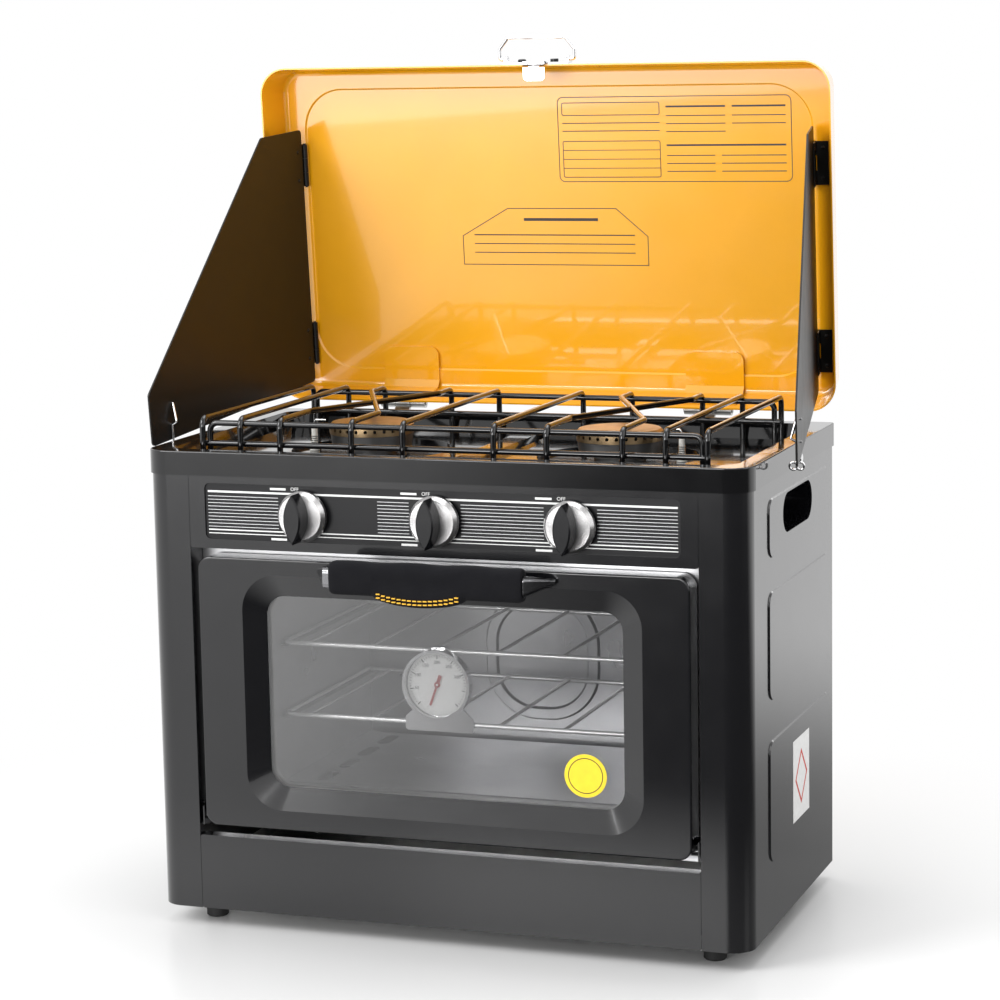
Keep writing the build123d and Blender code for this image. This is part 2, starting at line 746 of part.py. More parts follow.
# Oven racks: a frame wire with wires across it from front to back
rack_half_x = oven_half_width - rack_frame_wire / 2 - 1
for rack_name, level in (("lower", rack_level_low), ("upper", rack_level_high)):
    with BuildPart() as oven_rack:
        with BuildLine():
            FilletPolyline(
                (-rack_half_x, rack_back_y + 1, level),
                (-rack_half_x, rack_front_y, level),
                (rack_half_x, rack_front_y, level),
                (rack_half_x, rack_back_y + 1, level),
                radius=8,
            )
        with BuildSketch(front_plane(rack_back_y + 1)):
            with Locations((-rack_half_x, level)):
                Circle(rack_frame_wire / 2)
        sweep()
        with BuildSketch(Plane(origin=(-rack_half_x, rack_back_y - 2, level), z_dir=(1, 0, 0))):
            Circle(rack_frame_wire / 2)
        extrude(amount=2 * rack_half_x)
        with BuildSketch(front_plane(rack_back_y)):
            with Locations((0, level + 0.3)):
                with GridLocations(rack_wire_pitch, 1, rack_wire_count, 1):
                    Circle(rack_cross_wire / 2)
        extrude(amount=rack_back_y - rack_front_y)
    oven_rack.part.label = f"oven_rack_{rack_name}"
    export_step(oven_rack.part, f"parts/oven_rack_{rack_name}.step")

# Oven thermometer hooked over both racks' front wires: case, dial, pointer and lens
dial_back_y = rack_front_y - rack_frame_wire / 2 - 0.5
dial_front_y = dial_back_y - dial_depth
stand_foot = rack_level_low - rack_frame_wire / 2 - 4.5
stand_hook_z = rack_level_low + rack_frame_wire / 2 + seat_gap
tab_hook_z = rack_level_high + rack_frame_wire / 2 + seat_gap
shoulder_z = stand_hook_z + 3
neck_z = dial_z - dial_radius / 2
hook_depth = 2 * (rack_front_y - dial_back_y) + 2
with BuildPart() as thermometer_case:
    with BuildSketch(front_plane(dial_back_y)) as stand_face:
        with BuildLine():
            Polyline(
                (dial_x - dial_foot_half_width, stand_foot),
                (dial_x + dial_foot_half_width, stand_foot),
                (dial_x + dial_foot_half_width, shoulder_z),
                (dial_x + dial_radius / 2, neck_z),
                (dial_x - dial_radius / 2, neck_z),
                (dial_x - dial_foot_half_width, shoulder_z),
                close=True,
            )
        make_face()
        fillet(stand_face.vertices().sort_by(Axis.Y)[:4], 3)
        with Locations((dial_x, (dial_z + tab_hook_z + 1) / 2)):
            Rectangle(dial_tab_width, tab_hook_z + 1 - dial_z)
    extrude(amount=1.0)
    with BuildSketch(Plane.XY.offset(stand_hook_z)):
        with Locations((dial_x, rack_front_y)):
            Rectangle(2 * dial_foot_half_width - 8, hook_depth)
    extrude(amount=1.0)
    with BuildSketch(Plane.XY.offset(tab_hook_z)):
        with Locations((dial_x, rack_front_y)):
            Rectangle(dial_tab_width, hook_depth)
    extrude(amount=1.0)
    with BuildSketch(front_plane(dial_back_y)):
        with Locations((dial_x, dial_z)):
            Circle(dial_radius)
    extrude(amount=dial_depth)
    with BuildSketch(front_plane(dial_back_y - 3)):
        with Locations((dial_x, dial_z)):
            Circle(dial_radius - 2.5)
    extrude(amount=dial_depth, mode=Mode.SUBTRACT)
thermometer_case.part.label = "thermometer_case"
export_step(thermometer_case.part, "parts/thermometer_case.step")

with BuildPart() as thermometer_dial:
    with BuildSketch(front_plane(dial_back_y - 3 - seat_gap)):
        with Locations((dial_x, dial_z)):
            Circle(dial_radius - 3)
    extrude(amount=0.6)
    with BuildSketch(front_plane(dial_back_y - 3 - seat_gap)):
        with Locations((dial_x, dial_z)):
            Circle(0.8)
    extrude(amount=2.6)
thermometer_dial.part.label = "thermometer_dial"
export_step(thermometer_dial.part, "parts/thermometer_dial.step")

pointer_y = dial_back_y - 3 - seat_gap - 1.2
pointer_deg = 250.0
with BuildPart() as thermometer_pointer:
    with BuildSketch(front_plane(pointer_y)):
        with Locations((dial_x, dial_z)):
            Circle(2.6)
            with PolarLocations(7, 1, start_angle=pointer_deg):
                Rectangle(24, 1.8)
            with PolarLocations(4.5, 1, start_angle=pointer_deg - 180):
                Rectangle(8, 3)
            Circle(0.8 + stem_clearance, mode=Mode.SUBTRACT)
    extrude(amount=0.6)
thermometer_pointer.part.label = "thermometer_pointer"
export_step(thermometer_pointer.part, "parts/thermometer_pointer.step")

with BuildPart() as thermometer_lens:
    with BuildSketch(front_plane(dial_front_y + 1.6)):
        with Locations((dial_x, dial_z)):
            Circle(dial_radius - 3)
    extrude(amount=1.0)
thermometer_lens.part.label = "thermometer_lens"
export_step(thermometer_lens.part, "parts/thermometer_lens.step")

# Door outer panel: a shallow tray, pressed in along a broad slope down to the window
bezel_width = window_width + 2 * bezel_margin
bezel_height = window_height + 2 * bezel_margin
bezel_radius = window_radius + bezel_round
glass_front_y = door_face_y + glass_recess
with BuildPart() as door_panel:
    with BuildSketch(front_plane(door_back_y)):
        with Locations((0, door_z)):
            RectangleRounded(door_width, door_height, door_corner)
    extrude(amount=door_thickness)
    fillet(door_panel.faces().sort_by(Axis.Y)[0].edges(), 1.4)
    with BuildSketch(front_plane(door_face_y + door_sheet)):
        with Locations((0, door_z)):
            RectangleRounded(door_width - 2 * door_sheet, door_height - 2 * door_sheet, door_corner - door_sheet)
    extrude(amount=-door_thickness, mode=Mode.SUBTRACT)
    for grow, mode in ((bezel_back, Mode.ADD), (0.0, Mode.SUBTRACT)):
        with BuildSketch(front_plane(door_face_y)):
            with Locations((0, window_z)):
                RectangleRounded(bezel_width + 2 * grow, bezel_height + 2 * grow, bezel_radius + grow)
        with BuildSketch(front_plane(glass_front_y - seat_gap)):
            with Locations((0, window_z)):
                RectangleRounded(window_width + 2 * grow, window_height + 2 * grow, window_radius + grow)
        loft(mode=mode)
    with BuildSketch(Plane(origin=(-cabinet_width, door_axis_y, door_axis_z), z_dir=(1, 0, 0))):
        Circle(hinge_pin_radius + stem_clearance)
    extrude(amount=2 * cabinet_width, mode=Mode.SUBTRACT)
door_panel.part.label = "door_panel"
export_step(door_panel.part, "parts/door_panel.step")

# Window glass
glass_width = window_width + 2 * glass_lap
glass_height = window_height + 2 * glass_lap
glass_back_y = glass_front_y + glass_thickness
with BuildPart() as door_glass:
    with BuildSketch(front_plane(glass_back_y)):
        with Locations((0, window_z)):
            RectangleRounded(glass_width, glass_height, window_radius + 4)
    extrude(amount=glass_thickness)
door_glass.part.label = "door_glass"
export_step(door_glass.part, "parts/door_glass.step")

# Inner frame of the door, which presses the glass against the panel
frame_inset = door_sheet + seat_gap
with BuildPart() as door_inner_frame:
    with BuildSketch(front_plane(door_back_y)):
        with Locations((0, door_z)):
            RectangleRounded(door_width - 2 * frame_inset, door_height - 2 * frame_inset, door_corner - frame_inset)
    extrude(amount=door_sheet)
    with BuildSketch(front_plane(door_back_y)):
        with Locations((0, window_z)):
            RectangleRounded(glass_width, glass_height, window_radius + 4)
    extrude(amount=door_back_y - glass_back_y - seat_gap)
    with BuildSketch(front_plane(door_back_y)):
        with Locations((0, window_z)):
            RectangleRounded(window_width, window_height, window_radius)
    extrude(amount=door_thickness, mode=Mode.SUBTRACT)
door_inner_frame.part.label = "door_inner_frame"
export_step(door_inner_frame.part, "parts/door_inner_frame.step")

# Seal on the back of the door, round the oven's mouth
seal_half_x = oven_half_width + 4
seal_low = oven_bottom - 4
seal_high = oven_top + 4
with BuildPart() as door_seal:
    with BuildSketch(front_plane(door_back_y + seal_thickness)):
        with Locations((0, (seal_low + seal_high) / 2)):
            RectangleRounded(2 * (seal_half_x + seal_width), seal_high - seal_low + 2 * seal_width, 14)
            RectangleRounded(2 * seal_half_x, seal_high - seal_low, 7, mode=Mode.SUBTRACT)
    extrude(amount=seal_thickness)
door_seal.part.label = "door_seal"
export_step(door_seal.part, "parts/door_seal.step")

# Hinge pins of the door, on ears fixed behind the posts
ear_x = opening_x - 2
with BuildPart() as door_hinge_ears:
    for side in sides.values():
        with BuildSketch(side_plane(side, ear_x)):
            with Locations((side * (door_axis_y - 5 + liner_face_y) / 2, door_axis_z)):
                Rectangle(liner_face_y - door_axis_y + 5, 16)
        extrude(amount=-sheet)
        with BuildSketch(front_plane(liner_face_y)):
            with Locations((side * (ear_x - 8), door_axis_z)):
                Rectangle(16, 16)
        extrude(amount=sheet)
        with BuildSketch(side_plane(side, ear_x - sheet)):
            with Locations((side * door_axis_y, door_axis_z)):
                Circle(hinge_pin_radius)
        extrude(amount=-hinge_pin_length)
door_hinge_ears.part.label = "door_hinge_ears"
export_step(door_hinge_ears.part, "parts/door_hinge_ears.step")

# Door handle: a bar bowed clear of the door, with ends that taper to the panel
bar_y = door_face_y - handle_standoff
bar_half = grip_x + grip_length / 2 + 1
tip_x = handle_span / 2
foot_pad_y = door_face_y - seat_gap
with BuildPart() as handle_bar:
    with BuildSketch(side_plane(1, bar_half)):
        with Locations((bar_y, handle_z)):
            RectangleRounded(handle_bar_depth, handle_bar_height, 4)
    extrude(amount=-2 * bar_half)
    for side in sides.values():
        with BuildSketch(side_plane(side, bar_half)):
            with Locations((side * bar_y, handle_z)):
                RectangleRounded(handle_bar_depth, handle_bar_height, 4)
        with BuildSketch(side_plane(side, tip_x)):
            with Locations((side * (foot_pad_y - 2.0), handle_z)):
                RectangleRounded(4, 4, 1.4)
        loft()
handle_bar.part.label = "handle_bar"
export_step(handle_bar.part, "parts/handle_bar.step")

# Cloth grip round the bar, a little wider in the middle where it sags
grip_top_z = handle_z + grip_height / 2 + grip_rise
grip_left = grip_x - grip_length / 2
grip_right = grip_x + grip_length / 2
grip_low_z = grip_top_z - grip_height
with BuildPart() as handle_grip:
    with BuildSketch(front_plane(bar_y + grip_depth / 2)) as grip_face:
        with BuildLine():
            Polyline(
                (grip_left, grip_top_z),
                (grip_right, grip_top_z),
                (grip_right, grip_low_z),
                (grip_sag_length / 2, grip_low_z),
                (grip_sag_length / 2 - 12, grip_low_z - grip_sag),
                (-grip_sag_length / 2 + 8, grip_low_z - grip_sag),
                (-grip_sag_length / 2, grip_low_z),
                (grip_left, grip_low_z),
                close=True,
            )
        make_face()
        fillet(grip_face.vertices(), 3.5)
    extrude(amount=grip_depth)
    fillet(handle_grip.faces().sort_by(Axis.Y)[0].edges(), 3.0)
    fillet(handle_grip.faces().sort_by(Axis.Y)[-1].edges(), 3.0)
    with BuildSketch(side_plane(1, grip_length)):
        with Locations((bar_y, handle_z)):
            RectangleRounded(handle_bar_depth + 0.8, handle_bar_height + 0.8, 4)
    extrude(amount=-2 * grip_length, mode=Mode.SUBTRACT)
handle_grip.part.label = "handle_grip"
export_step(handle_grip.part, "parts/handle_grip.step")

# Knobs: a metal skirt whose stem slides in a turning plug, and a moulded grip bar on it
plug_front_y = valve_front_y + 1
plug_back_y = plug_front_y + plug_length
stem_back_y = plug_back_y - knob_push - 5
knob_front_y = knob_back_y - knob_skirt_height - knob_grip_height
for knob_name, knob_x in knob_places.items():
    with BuildPart() as valve_plug:
        with BuildSketch(front_plane(plug_back_y)):
            with Locations((knob_x, knob_z)):
                Circle(plug_radius)
        extrude(amount=plug_length)
        with BuildSketch(front_plane(plug_front_y)):
            with Locations((knob_x, knob_z)):
                Circle(stem_radius + stem_clearance)
        extrude(amount=-plug_length + 2, mode=Mode.SUBTRACT)
    valve_plug.part.label = f"valve_plug_{knob_name}"
    export_step(valve_plug.part, f"parts/valve_plug_{knob_name}.step")

    with BuildPart() as knob_skirt:
        with BuildSketch(front_plane(knob_back_y)):
            with Locations((knob_x, knob_z)):
                Circle(knob_radius)
        extrude(amount=knob_skirt_height)
        chamfer(knob_skirt.faces().sort_by(Axis.Y)[0].edges(), length=4.0, length2=2.5)
        with BuildSketch(front_plane(knob_back_y)):
            with Locations((knob_x, knob_z)):
                Circle(knob_radius - 2)
        extrude(amount=knob_skirt_height - 3, mode=Mode.SUBTRACT)
        with BuildSketch(front_plane(stem_back_y)):
            with Locations((knob_x, knob_z)):
                Circle(stem_radius)
        extrude(amount=stem_back_y - knob_back_y + knob_skirt_height - 1)
    knob_skirt.part.label = f"knob_skirt_{knob_name}"
    export_step(knob_skirt.part, f"parts/knob_skirt_{knob_name}.step")

    with BuildPart() as knob_grip:
        with BuildSketch(front_plane(knob_back_y - knob_skirt_height - 0.1)):
            with BuildLine():
                tip_low = (knob_x, knob_z - knob_radius + 0.5)
                tip_high = (knob_x, knob_z + knob_radius - 0.5)
                ThreePointArc(tip_low, (knob_x + knob_grip_width / 2, knob_z), tip_high)
                ThreePointArc(tip_high, (knob_x - knob_grip_width / 2, knob_z), tip_low)
            make_face()
        extrude(amount=knob_grip_height)
        chamfer(knob_grip.faces().sort_by(Axis.Y)[0].edges(), 1.2)
    knob_grip.part.label = f"knob_grip_{knob_name}"
    export_step(knob_grip.part, f"parts/knob_grip_{knob_name}.step")

# Cooking grate: bars from front to back on cross rails, two pairs crossing over the burners
bar_z = grate_top - grate_wire / 2
leg_foot = pan_floor + grate_foot_gap
upper_rail_z = bar_z - grate_wire + 0.8
lower_rail_z = rim_height + 2.5
rail_front_y = grate_front_y + grate_wire - 0.8
rail_back_y = grate_back_y - grate_wire + 0.8
inner_bar = bar_places[1]
outer_bar = bar_places[2]
with BuildPart() as cooking_grate:
    for side in sides.values():
        for place in bar_places:
            x = side * place
            other = {inner_bar: outer_bar, outer_bar: inner_bar}.get(place)
            across = [] if other is None else [
                (x, grate_front_y + kink_front, bar_z),
                (side * other, grate_back_y - kink_back, bar_z),
            ]
            end_x = x if other is None else side * other
            points = [(x, grate_front_y, leg_foot), (x, grate_front_y, bar_z)]
            points += across
            points += [(end_x, grate_back_y, bar_z), (end_x, grate_back_y, leg_foot)]
            with BuildLine():
                FilletPolyline(*points, radius=grate_bend)
            with BuildSketch(Plane.XY.offset(leg_foot)):
                with Locations((x, grate_front_y)):
                    Circle(grate_wire / 2)
            sweep()
    for y in (rail_front_y, rail_back_y):
        rail_end = grate_half_width - grate_wire
        with BuildLine():
            FilletPolyline(
                (-rail_end, y, leg_foot),
                (-rail_end, y, upper_rail_z),
                (rail_end, y, upper_rail_z),
                (rail_end, y, leg_foot),
                radius=grate_bend,
            )
        with BuildSketch(Plane.XY.offset(leg_foot)):
            with Locations((-rail_end, y)):
                Circle(grate_rail_wire / 2)
        sweep()
        with BuildSketch(Plane(origin=(-grate_half_width, y, lower_rail_z), z_dir=(1, 0, 0))):
            Circle(grate_rail_wire / 2)
        extrude(amount=2 * grate_half_width)
cooking_grate.part.label = "cooking_grate"
export_step(cooking_grate.part, "parts/cooking_grate.step")

# Lid: a deep pressed tray, open to the front when it stands up
lid_mid = lid_length / 2
plateau_mid = (plateau_low + plateau_high) / 2
plateau_length = plateau_high - plateau_low
draft_deg = math.degrees(math.atan(draft_slope))
with BuildPart() as lid_shell:
    with BuildSketch(lid_plane()):
        with Locations((0, lid_mid)):
            RectangleRounded(lid_width, lid_length, lid_corner)
    extrude(amount=-lid_depth, taper=draft_deg)
    fillet(lid_shell.faces().sort_by(Axis((0, 0, 0), lid_back))[-1].edges(), lid_bend_radius)
    with BuildSketch(lid_plane(lid_depth)):
        with Locations((0, plateau_mid)):
            RectangleRounded(2 * plateau_half_width, plateau_length, plateau_radius)
    extrude(amount=-plateau_rise, taper=45)
with BuildPart() as lid_hollow:
    with BuildSketch(lid_plane(-1)):
        with Locations((0, lid_mid)):
            RectangleRounded(lid_width - 2 * lid_sheet, lid_length - 2 * lid_sheet, lid_corner - lid_sheet)
    extrude(amount=-lid_depth + lid_sheet - 1, taper=draft_deg)
    fillet(lid_hollow.faces().sort_by(Axis((0, 0, 0), lid_back))[-1].edges(), lid_bend_radius - lid_sheet)
    with BuildSketch(lid_plane(lid_depth - lid_sheet)):
        with Locations((0, plateau_mid)):
            RectangleRounded(2 * plateau_half_width - 1, plateau_length - 1, plateau_radius)
    extrude(amount=-plateau_rise, taper=45)
with BuildPart() as lid:
    add(lid_shell.part)
    add(lid_hollow.part, mode=Mode.SUBTRACT)
lid.part.label = "lid_shell"
export_step(lid.part, "parts/lid_shell.step")


def wall_line(depth):
    """Height up the lid of its bottom wall's outer face at a depth."""
    return depth * draft_slope


# Hinge stiffeners welded inside the lid over the hinges
stiffener_height = 37.0
stiffener_bend = 6.0
stiffener_corner = 8.0
inner_back = lid_depth - lid_sheet
with BuildPart() as lid_stiffeners:
    for side in sides.values():
        with BuildSketch(lid_section(side * lid_hinge_x - lid_hinge_width / 2)):
            with BuildLine():
                low = wall_line(8) + lid_sheet + seat_gap
                floor_back = wall_line(inner_back) + lid_sheet + seat_gap
                bend = inner_back - stiffener_bend
                Polyline(
                    (8, low),
                    (bend, wall_line(bend) + lid_sheet + seat_gap),
                    (inner_back - seat_gap, floor_back + stiffener_bend),
                    (inner_back - seat_gap, floor_back + stiffener_height),
                    (inner_back - 1.6, floor_back + stiffener_height),
                    (inner_back - 1.6, floor_back + stiffener_bend + 0.4),
                    (bend - 0.6, wall_line(bend) + lid_sheet + 1.6),
                    (8, low + 1.3),
                    close=True,
                )
            make_face()
        extrude(amount=lid_hinge_width)
    across_edges = lid_stiffeners.edges().filter_by(Axis((0, 0, 0), lid_back))
    fillet(across_edges.group_by(Axis((0, 0, 0), lid_up))[-1], stiffener_corner)
lid_stiffeners.part.label = "lid_stiffeners"
export_step(lid_stiffeners.part, "parts/lid_stiffeners.step")

# Lid hinges: outer knuckles and the pin on the lid's leaves, middle knuckles on the cabinet's
lid_axis = lid_origin + lid_back * lid_hinge_depth - lid_up * lid_hinge_drop
knuckle_length = 14.0
knuckle_gap = 0.5
leaf_length = 3 * knuckle_length + 2 * knuckle_gap
lid_leaf_start = lid_hinge_depth + lid_knuckle_radius + 0.7


def leaf_top(depth):
    """Height up the lid of the leaves' upper face, under the bottom wall, at a depth."""
    return wall_line(depth) - seat_gap


def knuckle_sketch(radius, centre):
    """A circle across X, at a knuckle's start."""
    with BuildSketch(Plane(origin=centre, z_dir=(1, 0, 0))) as ring:
        Circle(radius)
    return ring.sketch


with BuildPart() as lid_hinge_leaves:
    for side in sides.values():
        start = side * lid_hinge_x - leaf_length / 2
        for turn in (0, 2):
            x = start + turn * (knuckle_length + knuckle_gap)
            extrude(knuckle_sketch(lid_knuckle_radius, lid_axis + Vector(x, 0, 0)), amount=knuckle_length)
            with BuildSketch(lid_section(x)):
                with BuildLine():
                    Polyline(
                        (lid_hinge_depth - 1.5, -lid_hinge_drop + lid_knuckle_radius - 1.2),
                        (lid_hinge_depth - 1.5, leaf_top(lid_hinge_depth - 1.5)),
                        (lid_leaf_end, leaf_top(lid_leaf_end)),
                        (lid_leaf_end, leaf_top(lid_leaf_end) - leaf_sheet),
                        (lid_leaf_start, leaf_top(lid_leaf_start) - leaf_sheet),
                        (lid_hinge_depth + 3, -lid_hinge_drop + 2),
                        close=True,
                    )
                make_face()
            extrude(amount=knuckle_length)
        with BuildSketch(lid_section(start)):
            with BuildLine():
                Polyline(
                    (lid_leaf_start, leaf_top(lid_leaf_start) - leaf_sheet),
                    (lid_leaf_start, leaf_top(lid_leaf_start)),
                    (lid_leaf_end, leaf_top(lid_leaf_end)),
                    (lid_leaf_end, leaf_top(lid_leaf_end) - leaf_sheet),
                    close=True,
                )
            make_face()
        extrude(amount=leaf_length)
        extrude(knuckle_sketch(lid_pin_radius, lid_axis + Vector(start - 1, 0, 0)), amount=leaf_length + 2)
lid_hinge_leaves.part.label = "lid_hinge_leaves"
export_step(lid_hinge_leaves.part, "parts/lid_hinge_leaves.step")

skirt_back_y = back_y + skirt_proud
with BuildPart() as cabinet_hinge_leaves:
    for side in sides.values():
        start = side * lid_hinge_x - leaf_length / 2
        x = start + knuckle_length + knuckle_gap
        extrude(knuckle_sketch(lid_knuckle_radius, lid_axis + Vector(x, 0, 0)), amount=knuckle_length)
        with BuildSketch(Plane(origin=(x, 0, 0), x_dir=(0, 1, 0), z_dir=(1, 0, 0))):
            with BuildLine():
                Polyline(
                    (skirt_back_y + seat_gap, rim_height - 6),
                    (skirt_back_y + seat_gap, rim_height - 3),
                    (lid_axis.Y - 1, lid_axis.Z - 1),
                    (lid_axis.Y + 1, lid_axis.Z - 3),
                    (skirt_back_y + seat_gap + 1.5, rim_height - 7),
                    close=True,
                )
            make_face()
        extrude(amount=knuckle_length)
        with BuildSketch(Plane(origin=(start, 0, 0), x_dir=(0, 1, 0), z_dir=(1, 0, 0))):
            with Locations((skirt_back_y + seat_gap + 0.75, rim_height - skirt_height / 2 - 1.5)):
                Rectangle(1.5, skirt_height - 6)
        extrude(amount=leaf_length)
        bore = knuckle_sketch(lid_pin_radius + stem_clearance, lid_axis + Vector(start, 0, 0))
        extrude(bore, amount=leaf_length, mode=Mode.SUBTRACT)
cabinet_hinge_leaves.part.label = "cabinet_hinge_leaves"
export_step(cabinet_hinge_leaves.part, "parts/cabinet_hinge_leaves.step")

# Wind shields: a bent-corner sheet each side, hinged inside the lid and splayed outwards
splay = math.radians(shield_splay_deg)


def shield_along(side):
    """Direction from a shield's hinge line towards its nose."""
    return Vector(side * math.sin(splay), 0, 0) - lid_back * math.cos(splay)


def shield_out(side):
    """Direction square to a shield, away from the cooktop."""
    return Vector(side * math.cos(splay), 0, 0) + lid_back * math.sin(splay)


def shield_heel_point(side, height):
    """A point of a shield's hinge line, at a height up the lid."""
    centre = lid_origin + Vector(side * shield_hinge_x, 0, 0) + lid_back * shield_hinge_depth
    return centre + lid_up * height


def shield_plane(side):
    """The shield's inner face: its x runs along the sheet, its z is square to it."""
    along = shield_along(side)
    return Plane(origin=shield_heel_point(side, 0), x_dir=along, z_dir=along.cross(lid_up))


for side_name, side in sides.items():
    plane = shield_plane(side)
    outward = 1 if plane.z_dir.dot(shield_out(side)) > 0 else -1
    with BuildPart() as wind_shield:
        with BuildSketch(plane) as shield_face:
            with BuildLine():
                Polyline(
                    (4.5, shield_heel),
                    (4.5, shield_top),
                    (shield_top_reach, shield_top),
                    (shield_reach, shield_nose_top),
                    (shield_reach - 1, shield_nose_bottom),
                    close=True,
                )
            make_face()
            fillet(shield_face.vertices(), 4)
            with Locations(clip_holes):
                Circle(clip_wire / 2 + stem_clearance, mode=Mode.SUBTRACT)
        extrude(amount=outward * shield_sheet)
    wind_shield.part.label = f"wind_shield_{side_name}"
    export_step(wind_shield.part, f"parts/wind_shield_{side_name}.step")

# Shield hinges: leaves on the lid's back margin, with their pins, and leaves on the shields
third = shield_hinge_length / 3
leaf_clear = 0.4


def shield_circle(radius, side, height):
    """A circle round a shield's hinge line, at a height up the lid."""
    with BuildSketch(Plane(origin=shield_heel_point(side, height), z_dir=lid_up)) as ring:
        Circle(radius)
    return ring.sketch


with BuildPart() as shield_lid_leaves:
    knuckle_span = third - leaf_clear
    for side in sides.values():
        for middle in shield_hinge_heights:
            low = middle - shield_hinge_length / 2
            plate_middle = (shield_leaf_start + shield_leaf_end) / 2
            with BuildSketch(lid_plane(inner_back - seat_gap)):
                with Locations((side * (shield_hinge_x + plate_middle), middle)):
                    Rectangle(shield_leaf_end - shield_leaf_start, shield_hinge_length)
                for tab_side in (-1, 1):
                    tab_middle = middle + tab_side * (shield_hinge_length - knuckle_span) / 2
                    with Locations((side * (shield_hinge_x + shield_leaf_start / 2 + 0.5), tab_middle)):
                        Rectangle(shield_leaf_start + 1, knuckle_span)
            extrude(amount=shield_leaf_sheet)
            for height in (low, low + 2 * third + leaf_clear):
                extrude(shield_circle(shield_knuckle_radius, side, height), amount=knuckle_span)
            extrude(shield_circle(shield_pin_radius, side, low - 1), amount=shield_hinge_length + 2)
shield_lid_leaves.part.label = "shield_lid_leaves"
export_step(shield_lid_leaves.part, "parts/shield_lid_leaves.step")

for side_name, side in sides.items():
    plane = shield_plane(side)
    outward = 1 if plane.z_dir.dot(shield_out(side)) > 0 else -1
    leaf_plane = plane.offset(outward * (shield_sheet + seat_gap))
    with BuildPart() as shield_leaves:
        for middle in shield_hinge_heights:
            low = middle - shield_hinge_length / 2
            extrude(shield_circle(shield_knuckle_radius, side, low + third), amount=third)
            with BuildSketch(leaf_plane):
                with Locations((9.5, middle)):
                    Rectangle(13, shield_hinge_length)
                with Locations((2, middle)):
                    Rectangle(4, third)
            extrude(amount=outward * 1.0)
        for middle in shield_hinge_heights:
            bore = shield_circle(shield_pin_radius + stem_clearance, side, middle - shield_hinge_length)
            extrude(bore, amount=2 * shield_hinge_length, mode=Mode.SUBTRACT)
    shield_leaves.part.label = f"shield_leaves_{side_name}"
    export_step(shield_leaves.part, f"parts/shield_leaves_{side_name}.step")

# Spring clips: a bent wire whose legs pass out through the two holes at a shield's nose,
# with a stem and a double loop inside to pull it by
for side_name, side in sides.items():
    away = shield_out(side)
    along = shield_along(side)
    heel = shield_heel_point(side, 0)
    (upper_along, upper_height), (lower_along, lower_height) = clip_holes
    upper = heel + along * upper_along + lid_up * upper_height
    lower = heel + along * lower_along + lid_up * lower_height
    bend_share = (clip_bend_height - lower_height) / (upper_height - lower_height)
    bend = lower + (upper - lower) * bend_share - away * clip_bend_inside
    tip_out = away * (shield_sheet + clip_poke)
    with BuildPart() as clip:
        with BuildLine():
            FilletPolyline(
                upper + tip_out,
                upper - away * clip_inside,
                bend,
                lower - away * clip_inside,
                lower + tip_out,
                radius=1.3,
            )
        with BuildSketch(Plane(origin=upper + tip_out, z_dir=-away)):
            Circle(clip_wire / 2)
        sweep()
        with BuildSketch(Plane(origin=lower - away * clip_inside, z_dir=-lid_up)):
            Circle(clip_wire / 2)
        extrude(amount=clip_hang - clip_loop_radius / 2)
        for loop_side in (-1, 1):
            loop_inside = clip_inside + loop_side * (clip_loop_radius - clip_loop_overlap)
            centre = lower - away * loop_inside - lid_up * clip_hang
            with Locations(Plane(origin=centre, z_dir=along)):
                Torus(clip_loop_radius, clip_wire / 2)
    clip.part.label = f"clip_{side_name}"
    export_step(clip.part, f"parts/clip_{side_name}.step")

# Lid bail: a bracket on the lid's top wall, its two screws, the wire bail and the latch plate
bracket_half_width = 30.0
bracket_sheet = 1.5
bracket_depths = (1.5, 15.0)
lug_width = 3.0
bail_pin_radius = 1.5
screw_x = 15.0
screw_depth = 10.5
latch_sheet = 1.5
latch_pin_radius = 1.0
latch_knuckle_radius = 2.2


def top_wall(depth):
    """Height up the lid of its top wall's outer face at a depth."""
    return lid_length - depth * draft_slope


bracket_low = top_wall(bracket_depths[0]) + seat_gap
bail_axis_up = bracket_low + bracket_sheet + 2.2
bail_axis = lid_origin + lid_back * bail_depth + lid_up * bail_axis_up
latch_axis_depth = -latch_knuckle_radius - seat_gap
latch_axis = lid_origin + lid_back * latch_axis_depth + lid_up * (bracket_low + 0.8)


def across_lid(x, centre):
    """A plane square to X at x, with its origin on a pivot line of the lid."""
    return Plane(origin=centre + Vector(x, 0, 0), x_dir=lid_back, z_dir=(1, 0, 0))


